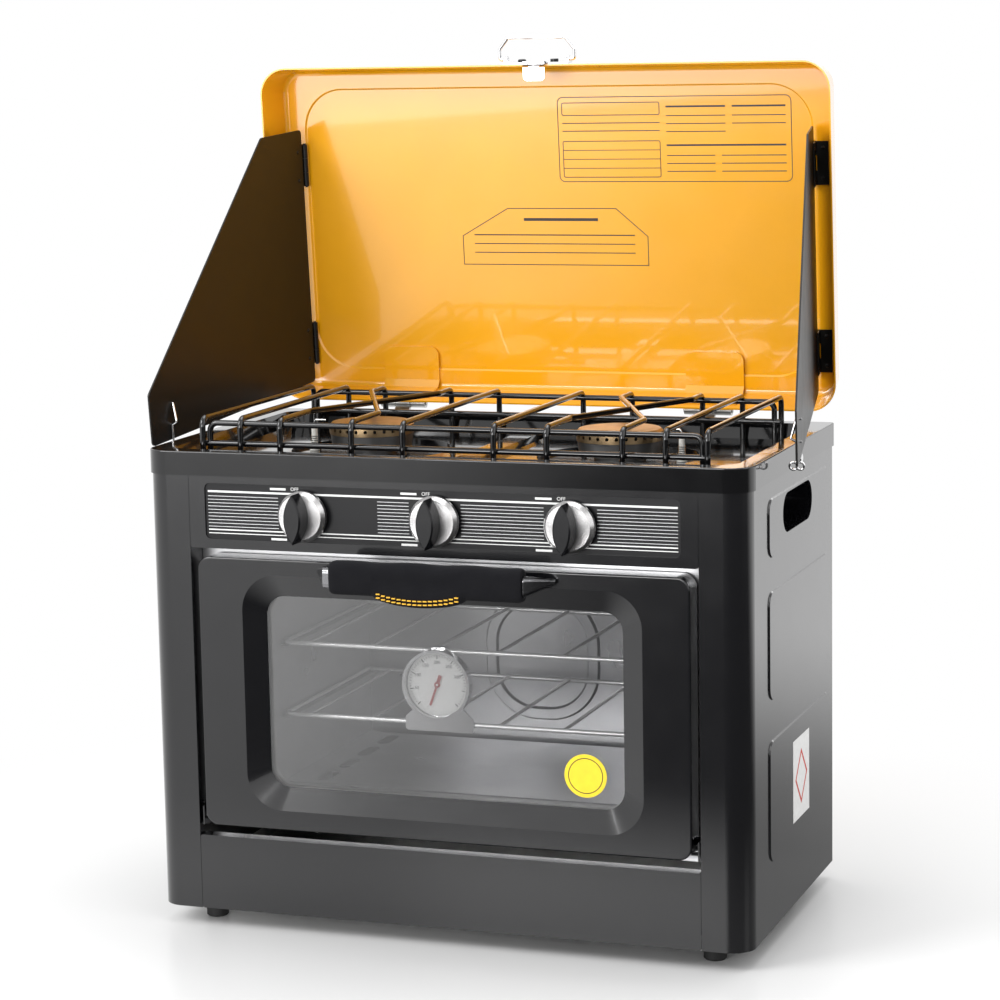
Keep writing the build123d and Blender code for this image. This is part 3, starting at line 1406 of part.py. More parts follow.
with BuildPart() as bail_bracket:
    with BuildSketch(lid_section(-bracket_half_width)):
        with BuildLine():
            Polyline(
                (bracket_depths[0], bracket_low),
                (bracket_depths[1], bracket_low),
                (bracket_depths[1], bracket_low + bracket_sheet),
                (bracket_depths[0], bracket_low + bracket_sheet),
                close=True,
            )
        make_face()
    extrude(amount=2 * bracket_half_width)
    for side in sides.values():
        lug_start = side * (bracket_half_width - lug_width / 2) - lug_width / 2
        with BuildSketch(across_lid(lug_start, bail_axis)):
            Circle(3.2)
            with Locations((0, -1.6)):
                Rectangle(6.4, 3.2)
        extrude(amount=lug_width)
        knuckle_start = side * (latch_width / 2 - 2.5) - 2.5
        with BuildSketch(across_lid(knuckle_start, latch_axis)):
            Circle(latch_knuckle_radius)
            with Locations((-latch_axis_depth / 2 + bracket_depths[0] / 2 + 0.5, 0.7)):
                Rectangle(-latch_axis_depth + bracket_depths[0] + 1, 1.4)
        extrude(amount=5)
    with BuildSketch(across_lid(-bracket_half_width - 1, bail_axis)):
        Circle(bail_pin_radius + stem_clearance)
    extrude(amount=2 * bracket_half_width + 2, mode=Mode.SUBTRACT)
    with BuildSketch(across_lid(-latch_width, latch_axis)):
        Circle(latch_pin_radius + stem_clearance)
    extrude(amount=2 * latch_width, mode=Mode.SUBTRACT)
    for side in sides.values():
        screw_place = lid_origin + Vector(side * screw_x, 0, 0) + lid_back * screw_depth
        with BuildSketch(Plane(origin=screw_place + lid_up * (bracket_low - 2), z_dir=lid_up)):
            Circle(2.0)
        extrude(amount=8, mode=Mode.SUBTRACT)
bail_bracket.part.label = "bail_bracket"
export_step(bail_bracket.part, "parts/bail_bracket.step")

with BuildPart() as lid_screws:
    for side in sides.values():
        screw_place = lid_origin + Vector(side * screw_x, 0, 0) + lid_back * screw_depth
        head_low = bracket_low + bracket_sheet + 0.05
        with BuildSketch(Plane(origin=screw_place + lid_up * head_low, z_dir=lid_up)):
            Circle(3.6)
        extrude(amount=2.2)
        chamfer(lid_screws.faces().sort_by(Axis((0, 0, 0), lid_up))[-1].edges(), 0.6)
        with BuildSketch(Plane(origin=screw_place + lid_up * head_low, z_dir=-lid_up)):
            Circle(1.95)
        extrude(amount=bracket_sheet + 0.05)
lid_screws.part.label = "lid_screws"
export_step(lid_screws.part, "parts/lid_screws.step")

bail_shoulder = bracket_half_width + 4.5
bail_pin_length = 6.5
with BuildPart() as bail:
    foot_left = bail_axis - Vector(bail_shoulder, 0, 0)
    foot_right = bail_axis + Vector(bail_shoulder, 0, 0)
    with BuildLine():
        FilletPolyline(
            foot_left + Vector(bail_pin_length, 0, 0),
            foot_left,
            foot_left + lid_up * (bail_height - bail_slant_height),
            foot_left + lid_up * bail_height + Vector(bail_slant_inset, 0, 0),
            foot_right + lid_up * bail_height - Vector(bail_slant_inset, 0, 0),
            foot_right + lid_up * (bail_height - bail_slant_height),
            foot_right,
            foot_right - Vector(bail_pin_length, 0, 0),
            radius=2.2,
        )
    with BuildSketch(Plane(origin=foot_left + Vector(bail_pin_length, 0, 0), z_dir=(-1, 0, 0))):
        Circle(bail_pin_radius)
    sweep()
bail.part.label = "bail"
export_step(bail.part, "parts/bail.step")

with BuildPart() as latch_plate:
    with BuildSketch(across_lid(-latch_width / 2 + 5.4, latch_axis)):
        Circle(latch_knuckle_radius)
        with Locations((0, -latch_length / 2)):
            Rectangle(latch_sheet, latch_length)
    extrude(amount=latch_width - 10.8)
    with BuildSketch(across_lid(-latch_width / 2, latch_axis)):
        with Locations((0, -latch_length / 2 - latch_knuckle_radius / 2 - 0.4)):
            Rectangle(latch_sheet, latch_length - latch_knuckle_radius - 0.8)
    extrude(amount=latch_width)
    plate_edges = latch_plate.edges().filter_by(Axis((0, 0, 0), lid_back))
    fillet(plate_edges.group_by(Axis((0, 0, 0), lid_up))[0], latch_corner)
    with BuildSketch(across_lid(-latch_width / 2 - 0.5, latch_axis)):
        Circle(latch_pin_radius)
    extrude(amount=latch_width + 1)
    button = latch_axis - lid_up * (latch_length / 2 + 1.5)
    with BuildSketch(Plane(origin=button, x_dir=(1, 0, 0), z_dir=-lid_back)):
        Circle(5.0)
    extrude(amount=latch_sheet / 2 + 1.6)
    with BuildSketch(Plane(origin=button - lid_back * 3, x_dir=(1, 0, 0), z_dir=lid_back)):
        Circle(3.2)
    extrude(amount=1.6, mode=Mode.SUBTRACT)
latch_plate.part.label = "latch_plate"
export_step(latch_plate.part, "parts/latch_plate.step")

# Screws: one on each side of the skirt, and one down through the base pan into each foot
with BuildPart() as screws:
    for side in sides.values():
        with BuildSketch(side_plane(side, side_x + skirt_proud + 0.05)):
            with Locations((side * 18.0, rim_height - skirt_height / 2 - 4)):
                Circle(4.0)
        extrude(amount=2.2, taper=15)
    with BuildSketch(Plane.XY.offset(foot_height + sheet + 0.05)):
        with Locations(foot_places):
            Circle(4.5)
    extrude(amount=3.0)
    with BuildSketch(Plane.XY.offset(foot_height + sheet + 0.05)):
        with Locations(foot_places):
            Circle(2.4)
    extrude(amount=-8.0)
screws.part.label = "screws"
export_step(screws.part, "parts/screws.step")
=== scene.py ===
import math

import bpy
from mathutils import Matrix, Vector


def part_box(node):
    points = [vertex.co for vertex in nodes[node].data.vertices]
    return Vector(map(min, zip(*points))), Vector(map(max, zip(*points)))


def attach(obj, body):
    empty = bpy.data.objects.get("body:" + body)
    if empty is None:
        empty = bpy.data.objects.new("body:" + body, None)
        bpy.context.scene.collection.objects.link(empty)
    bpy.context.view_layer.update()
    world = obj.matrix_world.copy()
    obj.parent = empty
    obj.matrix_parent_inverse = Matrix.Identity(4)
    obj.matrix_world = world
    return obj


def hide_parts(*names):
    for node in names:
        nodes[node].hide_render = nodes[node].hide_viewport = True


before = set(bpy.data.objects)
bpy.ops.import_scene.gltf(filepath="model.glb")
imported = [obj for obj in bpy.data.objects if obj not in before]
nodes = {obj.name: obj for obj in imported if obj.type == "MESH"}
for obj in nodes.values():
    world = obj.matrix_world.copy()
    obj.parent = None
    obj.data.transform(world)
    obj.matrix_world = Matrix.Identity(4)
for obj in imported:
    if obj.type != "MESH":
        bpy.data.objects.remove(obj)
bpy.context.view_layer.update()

X = Vector((1, 0, 0))
Y = Vector((0, 1, 0))
Z = Vector((0, 0, 1))
MM = 0.001
# Prints and stickers: their gap to the surface below and their thickness, in metres
LABEL_GAP = 0.00002
PRINT_GAP = 0.00003
LID_PRINT_GAP = 0.00004
FIGURE_GAP = 0.0001
PRINT_THICKNESS = 0.00005
LINE_THICKNESS = 0.00006
STICKER_THICKNESS = 0.00012
STICKER_TOP = 0.00013


# Node helpers
def new_material(name):
    """A material with its node tree and Principled shader."""
    material = bpy.data.materials.new(name)
    material.use_nodes = True
    tree = material.node_tree
    return material, tree, tree.nodes["Principled BSDF"]


def add_node(tree, kind, **inputs):
    """A shader node, with its input sockets set by name."""
    made = tree.nodes.new(kind)
    for key, value in inputs.items():
        made.inputs[key.replace("_", " ")].default_value = value
    return made


def object_coordinates(tree, scale=(1, 1, 1), centre=(0, 0, 0)):
    """Object coordinates in metres, from a centre and stretched by a scale."""
    place = tree.nodes.new("ShaderNodeTexCoord")
    mapping = add_node(tree, "ShaderNodeMapping", Scale=scale, Location=tuple(-c for c in centre))
    tree.links.new(place.outputs["Object"], mapping.inputs["Vector"])
    return mapping.outputs["Vector"]


def noise(tree, vector, scale, detail=3.0, roughness=0.5):
    """Noise over a vector, from 0 to 1."""
    made = add_node(tree, "ShaderNodeTexNoise", Scale=scale, Detail=detail, Roughness=roughness)
    tree.links.new(vector, made.inputs["Vector"])
    return made.outputs["Fac"]


def ramp(tree, factor, stops, constant=False):
    """A colour ramp over a factor. Each stop is a place and a colour."""
    made = tree.nodes.new("ShaderNodeValToRGB")
    made.color_ramp.interpolation = "CONSTANT" if constant else "LINEAR"
    elements = made.color_ramp.elements
    elements[0].position, elements[0].color = stops[0][0], (*stops[0][1], 1)
    elements[1].position, elements[1].color = stops[-1][0], (*stops[-1][1], 1)
    for place, colour in stops[1:-1]:
        elements.new(place).color = (*colour, 1)
    tree.links.new(factor, made.inputs["Fac"])
    return made.outputs["Color"]


def spread(tree, factor, low, high):
    """A factor from 0 to 1, mapped to low to high."""
    made = add_node(tree, "ShaderNodeMapRange")
    made.inputs["To Min"].default_value = low
    made.inputs["To Max"].default_value = high
    tree.links.new(factor, made.inputs["Value"])
    return made.outputs["Result"]


def maths(tree, operation, first, second, clamp=False):
    """A maths node over two sockets or plain values."""
    made = tree.nodes.new("ShaderNodeMath")
    made.operation = operation
    made.use_clamp = clamp
    for i, value in enumerate((first, second)):
        if isinstance(value, (int, float)):
            made.inputs[i].default_value = value
        else:
            tree.links.new(value, made.inputs[i])
    return made.outputs["Value"]


def fade(tree, value, start, end, low=0.0, high=1.0):
    """A value, mapped smoothly from start and end to low and high."""
    made = add_node(tree, "ShaderNodeMapRange")
    made.interpolation_type = "SMOOTHSTEP"
    for key, number in (("From Min", start), ("From Max", end), ("To Min", low), ("To Max", high)):
        made.inputs[key].default_value = number
    tree.links.new(value, made.inputs["Value"])
    return made.outputs["Result"]


def bump(tree, shader, height, strength, distance):
    """Bump from a height, on the shader's normal."""
    made = add_node(tree, "ShaderNodeBump", Strength=strength, Distance=distance)
    tree.links.new(height, made.inputs["Height"])
    tree.links.new(made.outputs["Normal"], shader.inputs["Normal"])


def blend_shaders(tree, factor, first, second):
    """Two shaders mixed by a factor, on the material's output."""
    made = tree.nodes.new("ShaderNodeMixShader")
    tree.links.new(factor, made.inputs["Fac"])
    tree.links.new(first, made.inputs[1])
    tree.links.new(second, made.inputs[2])
    tree.links.new(made.outputs["Shader"], tree.nodes["Material Output"].inputs["Surface"])


def direct_rays(tree):
    """The Light Path node, and 1 for camera, glossy and transmission rays."""
    path = tree.nodes.new("ShaderNodeLightPath")
    seen = maths(tree, "ADD", path.outputs["Is Camera Ray"], path.outputs["Is Glossy Ray"],
                 clamp=True)
    return path, maths(tree, "ADD", seen, path.outputs["Is Transmission Ray"], clamp=True)


def shades(colour, share):
    """A darker and a lighter shade of a colour."""
    return [tuple(c * f for c in colour) for f in (1 - share, 1 + share)]


def surface(name, colour, rough, variation=0.08, grain=900.0, grain_depth=0.0001, strength=0.15,
            patch=14.0, stretch=(1, 1, 1), **sockets):
    """A finish with patches of tone, uneven gloss and a fine grain."""
    material, tree, shader = new_material(name)
    vector = object_coordinates(tree, stretch)
    patches = noise(tree, vector, patch, 4.0)
    dark, light = shades(colour, variation)
    tree.links.new(ramp(tree, patches, [(0.3, dark), (0.7, light)]), shader.inputs["Base Color"])
    gloss = noise(tree, vector, patch * 3.1, 2.0)
    tree.links.new(spread(tree, gloss, rough[0], rough[1]), shader.inputs["Roughness"])
    bump(tree, shader, noise(tree, vector, grain, 2.0), strength, grain_depth)
    for key, value in sockets.items():
        shader.inputs[key.replace("_", " ")].default_value = value
    return material


# Plain finishes
black_paint = surface("black_paint", (0.004, 0.004, 0.005), (0.15, 0.22), grain=700,
                      grain_depth=0.00003, Coat_Weight=0.6, Coat_Roughness=0.06,
                      Specular_IOR_Level=0.5)
shield_paint = surface("shield_paint", (0.006, 0.0055, 0.005), (0.34, 0.44), grain=1400,
                       grain_depth=0.00005, strength=0.3, Specular_IOR_Level=0.35)
lid_paint = surface("lid_paint", (0.93, 0.42, 0.006), (0.12, 0.18), variation=0.03, grain=500,
                    grain_depth=0.00002, strength=0.1, Coat_Weight=1.0, Coat_Roughness=0.03,
                    Specular_IOR_Level=0.8)
grate_enamel = surface("grate_enamel", (0.003, 0.003, 0.0035), (0.06, 0.11), grain=300,
                       grain_depth=0.00003, strength=0.08, Coat_Weight=0.4, Coat_Roughness=0.03)
pan_enamel = surface("pan_enamel", (0.003, 0.003, 0.0035), (0.07, 0.12), grain=300,
                     grain_depth=0.00002, strength=0.05, Coat_Weight=0.5, Coat_Roughness=0.03)
zinc_steel = surface("zinc_steel", (0.55, 0.55, 0.54), (0.30, 0.48), variation=0.12, patch=40,
                     Metallic=1.0)
oven_steel = surface("oven_steel", (0.50, 0.50, 0.51), (0.24, 0.36), variation=0.10, patch=9,
                     grain=60, grain_depth=0.0005, strength=0.2, Metallic=1.0)
chrome = surface("chrome", (0.80, 0.80, 0.81), (0.05, 0.12), variation=0.03, Metallic=1.0)
bar_steel = surface("bar_steel", (0.30, 0.30, 0.31), (0.10, 0.20), variation=0.06, Metallic=1.0)
rack_chrome = surface("rack_chrome", (0.93, 0.93, 0.93), (0.12, 0.22), variation=0.04, Metallic=0.5)
brass = surface("brass", (0.62, 0.43, 0.20), (0.24, 0.38), variation=0.14, patch=60, Metallic=1.0)
cap_brass = surface("cap_brass", (0.42, 0.30, 0.17), (0.28, 0.42), variation=0.2, patch=80,
                    Metallic=1.0)
cast_aluminium = surface("cast_aluminium", (0.20, 0.20, 0.20), (0.36, 0.52), variation=0.12,
                         patch=70, grain=1600, grain_depth=0.0002, strength=0.3, Metallic=1.0)
knob_plastic = surface("knob_plastic", (0.004, 0.004, 0.005), (0.16, 0.24), grain=2200,
                       grain_depth=0.00005)
rubber = surface("rubber", (0.014, 0.014, 0.014), (0.62, 0.78), grain=1800, strength=0.3)
seal_rubber = surface("seal_rubber", (0.02, 0.02, 0.02), (0.55, 0.7), grain=1500, strength=0.3)
ceramic = surface("ceramic", (0.80, 0.78, 0.73), (0.14, 0.26), variation=0.04, patch=60,
                  Coat_Weight=0.4)
pointer_paint = surface("pointer_paint", (0.45, 0.02, 0.02), (0.3, 0.4), patch=200)
white_print = surface("white_print", (0.78, 0.78, 0.77), (0.35, 0.5), variation=0.05, patch=300)
silver_print = surface("silver_print", (0.62, 0.62, 0.63), (0.28, 0.42), variation=0.08, patch=300,
                       Metallic=0.6)
black_print = surface("black_print", (0.016, 0.014, 0.012), (0.35, 0.5), variation=0.2, patch=300)
yellow_print = surface("yellow_print", (0.86, 0.62, 0.02), (0.30, 0.42), variation=0.05, patch=120)
red_print = surface("red_print", (0.58, 0.05, 0.03), (0.35, 0.5), variation=0.06, patch=200)
plate_print = surface("plate_print", (0.006, 0.006, 0.007), (0.28, 0.38), grain=1500,
                      Specular_IOR_Level=0.3)
yellow_thread = surface("yellow_thread", (0.75, 0.42, 0.03), (0.6, 0.8), variation=0.15,
                        patch=900, grain=3000, grain_depth=0.0003, strength=0.5)


def turned_metal(centre):
    """Bright metal with rings round the knob's axis."""
    material, tree, shader = new_material("turned_metal")
    vector = object_coordinates(tree, centre=centre)
    wave = add_node(tree, "ShaderNodeTexWave", Scale=1500.0, Distortion=0.6, Detail=2.0)
    wave.wave_type = "RINGS"
    wave.rings_direction = "Y"
    tree.links.new(vector, wave.inputs["Vector"])
    tones = noise(tree, vector, 60.0)
    colour = ramp(tree, tones, [(0.3, (0.58, 0.57, 0.57)), (0.7, (0.68, 0.67, 0.67))])
    tree.links.new(colour, shader.inputs["Base Color"])
    tree.links.new(spread(tree, wave.outputs["Fac"], 0.22, 0.34), shader.inputs["Roughness"])
    bump(tree, shader, wave.outputs["Fac"], 0.25, 0.00005)
    shader.inputs["Metallic"].default_value = 1.0
    return material


def woven_cloth(name, colour):
    """Dark cloth with a weave of two thread directions."""
    material, tree, shader = new_material(name)
    vector = object_coordinates(tree)
    threads = []
    for direction in ("X", "Z"):
        wave = add_node(tree, "ShaderNodeTexWave", Scale=320.0, Distortion=0.8, Detail=1.0)
        wave.bands_direction = direction
        tree.links.new(vector, wave.inputs["Vector"])
        threads.append(wave.outputs["Fac"])
    weave = maths(tree, "MAXIMUM", *threads)
    dark, light = shades(colour, 0.35)
    tree.links.new(ramp(tree, weave, [(0.2, dark), (0.9, light)]), shader.inputs["Base Color"])
    fuzz = noise(tree, vector, 70.0, 4.0)
    tree.links.new(spread(tree, fuzz, 0.75, 0.95), shader.inputs["Roughness"])
    bump(tree, shader, weave, 0.5, 0.0003)
    for key, value in (("Sheen Weight", 0.03), ("Sheen Roughness", 0.5),
                       ("Specular IOR Level", 0.18)):
        shader.inputs[key].default_value = value
    return material


def clear_glass(name, tint, alpha, rough, mirror):
    """Clear glass with faint smears in its gloss and a share of mirror."""
    material, tree, shader = new_material(name)
    smears = noise(tree, object_coordinates(tree), 9.0, 4.0)
    dark, light = shades(tint, 0.05)
    tree.links.new(ramp(tree, smears, [(0.3, dark), (0.7, light)]), shader.inputs["Base Color"])
    tree.links.new(spread(tree, smears, rough[0], rough[1]), shader.inputs["Roughness"])
    tree.links.new(spread(tree, smears, alpha * 0.9, alpha * 1.1), shader.inputs["Alpha"])
    shader.inputs["IOR"].default_value = 1.5
    sheen = add_node(tree, "ShaderNodeBsdfGlossy", Roughness=rough[1])
    share = spread(tree, smears, mirror * 0.85, mirror * 1.15)
    blend_shaders(tree, share, shader.outputs["BSDF"], sheen.outputs["BSDF"])
    return material


def dial_face(centre, radius):
    """White enamel with a soft grey edge."""
    material, tree, shader = new_material("dial_face")
    vector = object_coordinates(tree, centre=centre)
    length = tree.nodes.new("ShaderNodeVectorMath")
    length.operation = "LENGTH"
    tree.links.new(vector, length.inputs[0])
    share = maths(tree, "DIVIDE", length.outputs["Value"], radius)
    tones = ramp(tree, share,
                 [(0.0, (0.95, 0.95, 0.94)), (0.8, (0.93, 0.93, 0.92)), (1.0, (0.75, 0.75, 0.74))])
    tree.links.new(tones, shader.inputs["Base Color"])
    gloss = spread(tree, noise(tree, vector, 300.0), 0.35, 0.5)
    tree.links.new(gloss, shader.inputs["Roughness"])
    return material


door_glass_clear = clear_glass("door_glass_clear", (0.03, 0.03, 0.035), 0.10, (0.01, 0.03), 0.14)
lens_glass = clear_glass("lens_glass", (0.90, 0.92, 0.92), 0.05, (0.02, 0.05), 0.04)
grip_cloth = woven_cloth("grip_cloth", (0.0035, 0.0035, 0.005))


def middle(node):
    """Centre of a node's box at rest."""
    low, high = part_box(node)
    return (Vector(low) + Vector(high)) / 2


dial_centre = middle("thermometer_dial")
dial_low, dial_high = (Vector(v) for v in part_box("thermometer_dial"))
dial_radius = (dial_high.x - dial_low.x) / 2
finishes = {
    "side_panel_left": black_paint, "side_panel_right": black_paint, "back_panel": zinc_steel,
    "base_pan": zinc_steel, "feet": rubber, "screws": chrome, "lower_front_panel": black_paint,
    "control_fascia": black_paint, "label_plate": plate_print, "grip_cups": black_paint,
    "cooktop": pan_enamel, "burner_bodies": cast_aluminium, "burner_caps": cap_brass,
    "igniters": ceramic, "spark_wires": chrome, "mixing_tubes": cast_aluminium,
    "gas_valves": brass, "gas_pipes": cast_aluminium, "gas_inlet": brass,
    "oven_liner": oven_steel, "oven_floor": oven_steel, "oven_burner": cast_aluminium,
    "oven_rack_lower": rack_chrome, "oven_rack_upper": rack_chrome,
    "thermometer_case": chrome, "thermometer_dial": dial_face(dial_centre, dial_radius),
    "thermometer_lens": lens_glass, "thermometer_pointer": pointer_paint,
    "door_hinge_ears": black_paint, "cabinet_hinge_leaves": zinc_steel,
    "door_panel": black_paint, "door_glass": door_glass_clear, "door_inner_frame": zinc_steel,
    "door_seal": seal_rubber, "handle_bar": bar_steel, "handle_grip": grip_cloth,
    "cooking_grate": grate_enamel, "lid_shell": lid_paint, "lid_stiffeners": lid_paint,
    "lid_hinge_leaves": zinc_steel, "wind_shield_left": shield_paint,
    "wind_shield_right": shield_paint, "shield_lid_leaves": shield_paint,
    "shield_leaves_left": shield_paint, "shield_leaves_right": shield_paint,
    "clip_left": chrome, "clip_right": chrome, "bail_bracket": chrome, "bail": chrome,
    "latch_plate": chrome, "lid_screws": knob_plastic,
    "valve_plug_left": brass, "valve_plug_centre": brass, "valve_plug_right": brass,
}
knob_names = ("left", "centre", "right")
for name in knob_names:
    finishes[f"knob_skirt_{name}"] = turned_metal(middle(f"knob_skirt_{name}"))
    finishes[f"knob_grip_{name}"] = knob_plastic
for name, material in finishes.items():
    for place in nodes[name].material_slots:
        place.material = material


# Mesh helpers
def ride_piece(name, mesh, material, body):
    """An object of a mesh and a material that rides on a body."""
    mesh.materials.clear()
    mesh.materials.append(material)
    piece = bpy.data.objects.new(name, mesh)
    bpy.context.scene.collection.objects.link(piece)
    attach(piece, body)
    return piece


def make_piece(name, vertices, faces, material, body, slot=None, smooth=False):
    """A piece from its vertices and faces."""
    mesh = bpy.data.meshes.new(name)
    mesh.from_pydata([tuple(v) for v in vertices], [], faces)
    mesh.update()
    for face in mesh.polygons:
        face.use_smooth = smooth
    return ride_piece(name, mesh, material, body)


def strip_boxes(boxes, origin, right, up, out, thickness):
    """Vertices and faces of thin boxes on a plane. Each box is x0, x1, y0, y1."""
    vertices, faces = [], []
    for x0, x1, y0, y1 in boxes:
        base = len(vertices)
        for level in (0.0, thickness):
            for x, y in ((x0, y0), (x1, y0), (x1, y1), (x0, y1)):
                vertices.append(origin + right * x + up * y + out * level)
        faces += [(base, base + 3, base + 2, base + 1), (base + 4, base + 5, base + 6, base + 7)]
        for i in range(4):
            j = (i + 1) % 4
            faces.append((base + i, base + j, base + 4 + j, base + 4 + i))
    return vertices, faces


def ribbon(points, width, origin, right, up, out, thickness, closed=False):
    """A flat line of one width through points on a plane, as a thin closed solid."""
    count = len(points)
    edges = []
    for i, point in enumerate(points):
        here = Vector(point)
        before = Vector(points[i - 1]) if closed or i else None
        after = Vector(points[(i + 1) % count]) if closed or i < count - 1 else None
        steps = [s.normalized() for s in ((here - before) if before is not None else None,
                                          (after - here) if after is not None else None) if s]
        along = sum(steps[1:], steps[0]).normalized()
        square = Vector((-along.y, along.x))
        reach = width / 2 / max(0.5, abs(along.dot(steps[0])))
        edges.append((here - square * reach, here + square * reach))
    vertices, faces = [], []
    for level in (0.0, thickness):
        for side in (0, 1):
            for pair in edges:
                p = pair[side]
                vertices.append(origin + right * p.x + up * p.y + out * level)
    spans = range(count if closed else count - 1)
    for i in spans:
        j = (i + 1) % count
        a0, b0 = i, count + i
        a1, b1 = j, count + j
        faces.append((a0, b0, b1, a1))
        faces.append((2 * count + a0, 2 * count + a1, 2 * count + b1, 2 * count + b0))
        faces.append((a0, a1, 2 * count + a1, 2 * count + a0))
        faces.append((b0, 2 * count + b0, 2 * count + b1, b1))
    if not closed:
        for i in (0, count - 1):
            faces.append((i, 2 * count + i, 3 * count + i, count + i))
    return vertices, faces


def merged(parts):
    """Several vertex and face lists as one."""
    vertices, faces = [], []
    for part_vertices, part_faces in parts:
        base = len(vertices)
        vertices += part_vertices
        faces += [tuple(base + i for i in face) for face in part_faces]
    return vertices, faces


def arc(cx, cy, radius, start, end, steps):
    """Points of an arc, in degrees."""
    turns = [math.radians(start + (end - start) * i / steps) for i in range(steps + 1)]
    return [(cx + radius * math.cos(t), cy + radius * math.sin(t)) for t in turns]


def rounded_outline(x0, x1, y0, y1, radius, steps=5):
    """Points round a rectangle with rounded corners, without the last repeat."""
    points = []
    for cx, cy, start in ((x1 - radius, y0 + radius, -90), (x1 - radius, y1 - radius, 0),
                          (x0 + radius, y1 - radius, 90), (x0 + radius, y0 + radius, 180)):
        points += arc(cx, cy, radius, start, start + 90, steps)
    return points


def text_piece(name, words, size, place, material, body):
    """Figures raised from an upright plane that faces forwards, as a mesh."""
    curve = bpy.data.curves.new(name, "FONT")
    curve.body = words
    curve.size = size
    curve.align_x = "CENTER"
    curve.align_y = "CENTER"
    curve.extrude = LINE_THICKNESS
    curve.resolution_u = 3
    drawn = bpy.data.objects.new(name + "_curve", curve)
    bpy.context.scene.collection.objects.link(drawn)
    bpy.context.view_layer.update()
    mesh = bpy.data.meshes.new_from_object(drawn)
    bpy.data.objects.remove(drawn)
    turn = Matrix((X, Z, -Y)).transposed().to_4x4()
    mesh.transform(Matrix.Translation(place) @ turn)
    ride_piece(name, mesh, material, body)


# Control label: white rules, silver stripes between them, and marks round each knob
plate_low, plate_high = (Vector(v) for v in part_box("label_plate"))
plate_front = plate_low.y - LABEL_GAP
plate_z = (plate_low.z + plate_high.z) / 2
plate_origin = Vector((0, plate_front, plate_z))
knob_places = {name: middle(f"knob_grip_{name}") for name in knob_names}
half_plate = 203.0 * MM
stripe_low, stripe_high = -13.0 * MM, 12.5 * MM
stripe_count = 10
stripe_half = 0.24 * MM
gap_left, gap_right = 24 * MM, 21 * MM
first_gap_extra = 43 * MM
stripe_gaps = [(p.x - gap_left, p.x + gap_right) for p in knob_places.values()]
stripe_gaps[0] = (stripe_gaps[0][0], stripe_gaps[0][1] + first_gap_extra)
spans = []
start = -half_plate
for gap_start, gap_end in stripe_gaps:
    spans.append((start, gap_start))
    start = gap_end
spans.append((start, half_plate))
boxes = []
for i in range(stripe_count):
    z = stripe_low + (stripe_high - stripe_low) * i / (stripe_count - 1)
    boxes += [(a, b, z - stripe_half, z + stripe_half) for a, b in spans]
make_piece("label_stripes", *strip_boxes(boxes, plate_origin, X, Z, -Y, PRINT_THICKNESS),
           silver_print, "cabinet", "label")
rules = [(-half_plate, half_plate, low * MM, high * MM)
         for low, high in ((15.6, 17.2), (-16.2, -15.2), (-19.0, -18.3))]
make_piece("label_rules", *strip_boxes(rules, plate_origin, X, Z, -Y, PRINT_THICKNESS),
           white_print, "cabinet", "label")

# Round each knob: a curve at its lower left that widens downwards, two short bars, and OFF
curve_radius = 23.6 * MM
curve_start, curve_end, curve_steps = 168, 228, 14
curve_width, curve_swell = 0.5 * MM, 1.9 * MM
bar_left, bar_right, bar_half = -31 * MM, -17 * MM, 0.9 * MM
bar_height = 21.0 * MM
off_place = Vector((-9 * MM, -FIGURE_GAP, 21.2 * MM))
off_size = 4.2 * MM
for name, place in knob_places.items():
    centre = Vector((place.x, plate_front, place.z))
    marks = []
    sweep = arc(0, 0, curve_radius, curve_start, curve_end, curve_steps)
    for i in range(curve_steps):
        width = curve_width + curve_swell * i / (curve_steps - 1)
        marks.append(ribbon(sweep[i:i + 2], width, centre, X, Z, -Y, PRINT_THICKNESS))
    for height in (bar_height, -bar_height):
        bar = [(bar_left, bar_right, height - bar_half, height + bar_half)]
        marks.append(strip_boxes(bar, centre, X, Z, -Y, PRINT_THICKNESS))
    make_piece(f"knob_marks_{name}", *merged(marks), white_print, "cabinet", "label")
    text_piece(f"off_mark_{name}", "OFF", off_size, centre + off_place, white_print, "cabinet")

# Thermometer: ticks and figures on the dial's plate, 0.6 mm thick behind its pin
dial_plate = 0.6 * MM
tick_origin = Vector((dial_centre.x, dial_high.y - dial_plate - PRINT_GAP, dial_centre.z))
tick_count, long_tick_step = 49, 6
scale_start, scale_sweep = 225, 270
tick_edge = 1.8 * MM
figure_edge = 8.0 * MM
figure_size = 4.0 * MM
ticks = []
for i in range(tick_count):
    turn = math.radians(scale_start - scale_sweep * i / (tick_count - 1))
    depth, width = (5.2, 0.8) if i % long_tick_step == 0 else (3.6, 0.42)
    ray = (math.cos(turn), math.sin(turn))
    ends = [(ray[0] * radius, ray[1] * radius)
            for radius in (dial_radius - depth * MM, dial_radius - tick_edge)]
    ticks.append(ribbon(ends, width * MM, tick_origin, X, Z, -Y, PRINT_THICKNESS))
make_piece("dial_ticks", *merged(ticks), black_print, "cabinet", "dial_white")
long_tick_count = (tick_count - 1) // long_tick_step
for i, figures in enumerate(("50", "100", "150", "200", "250", "300")):
    turn = math.radians(scale_start - scale_sweep * (i + 1) / long_tick_count)
    place = Vector((math.cos(turn), 0, math.sin(turn))) * (dial_radius - figure_edge)
    text_piece(f"dial_figure_{i}", figures, figure_size, tick_origin + place - Y * FIGURE_GAP,
               black_print, "cabinet")

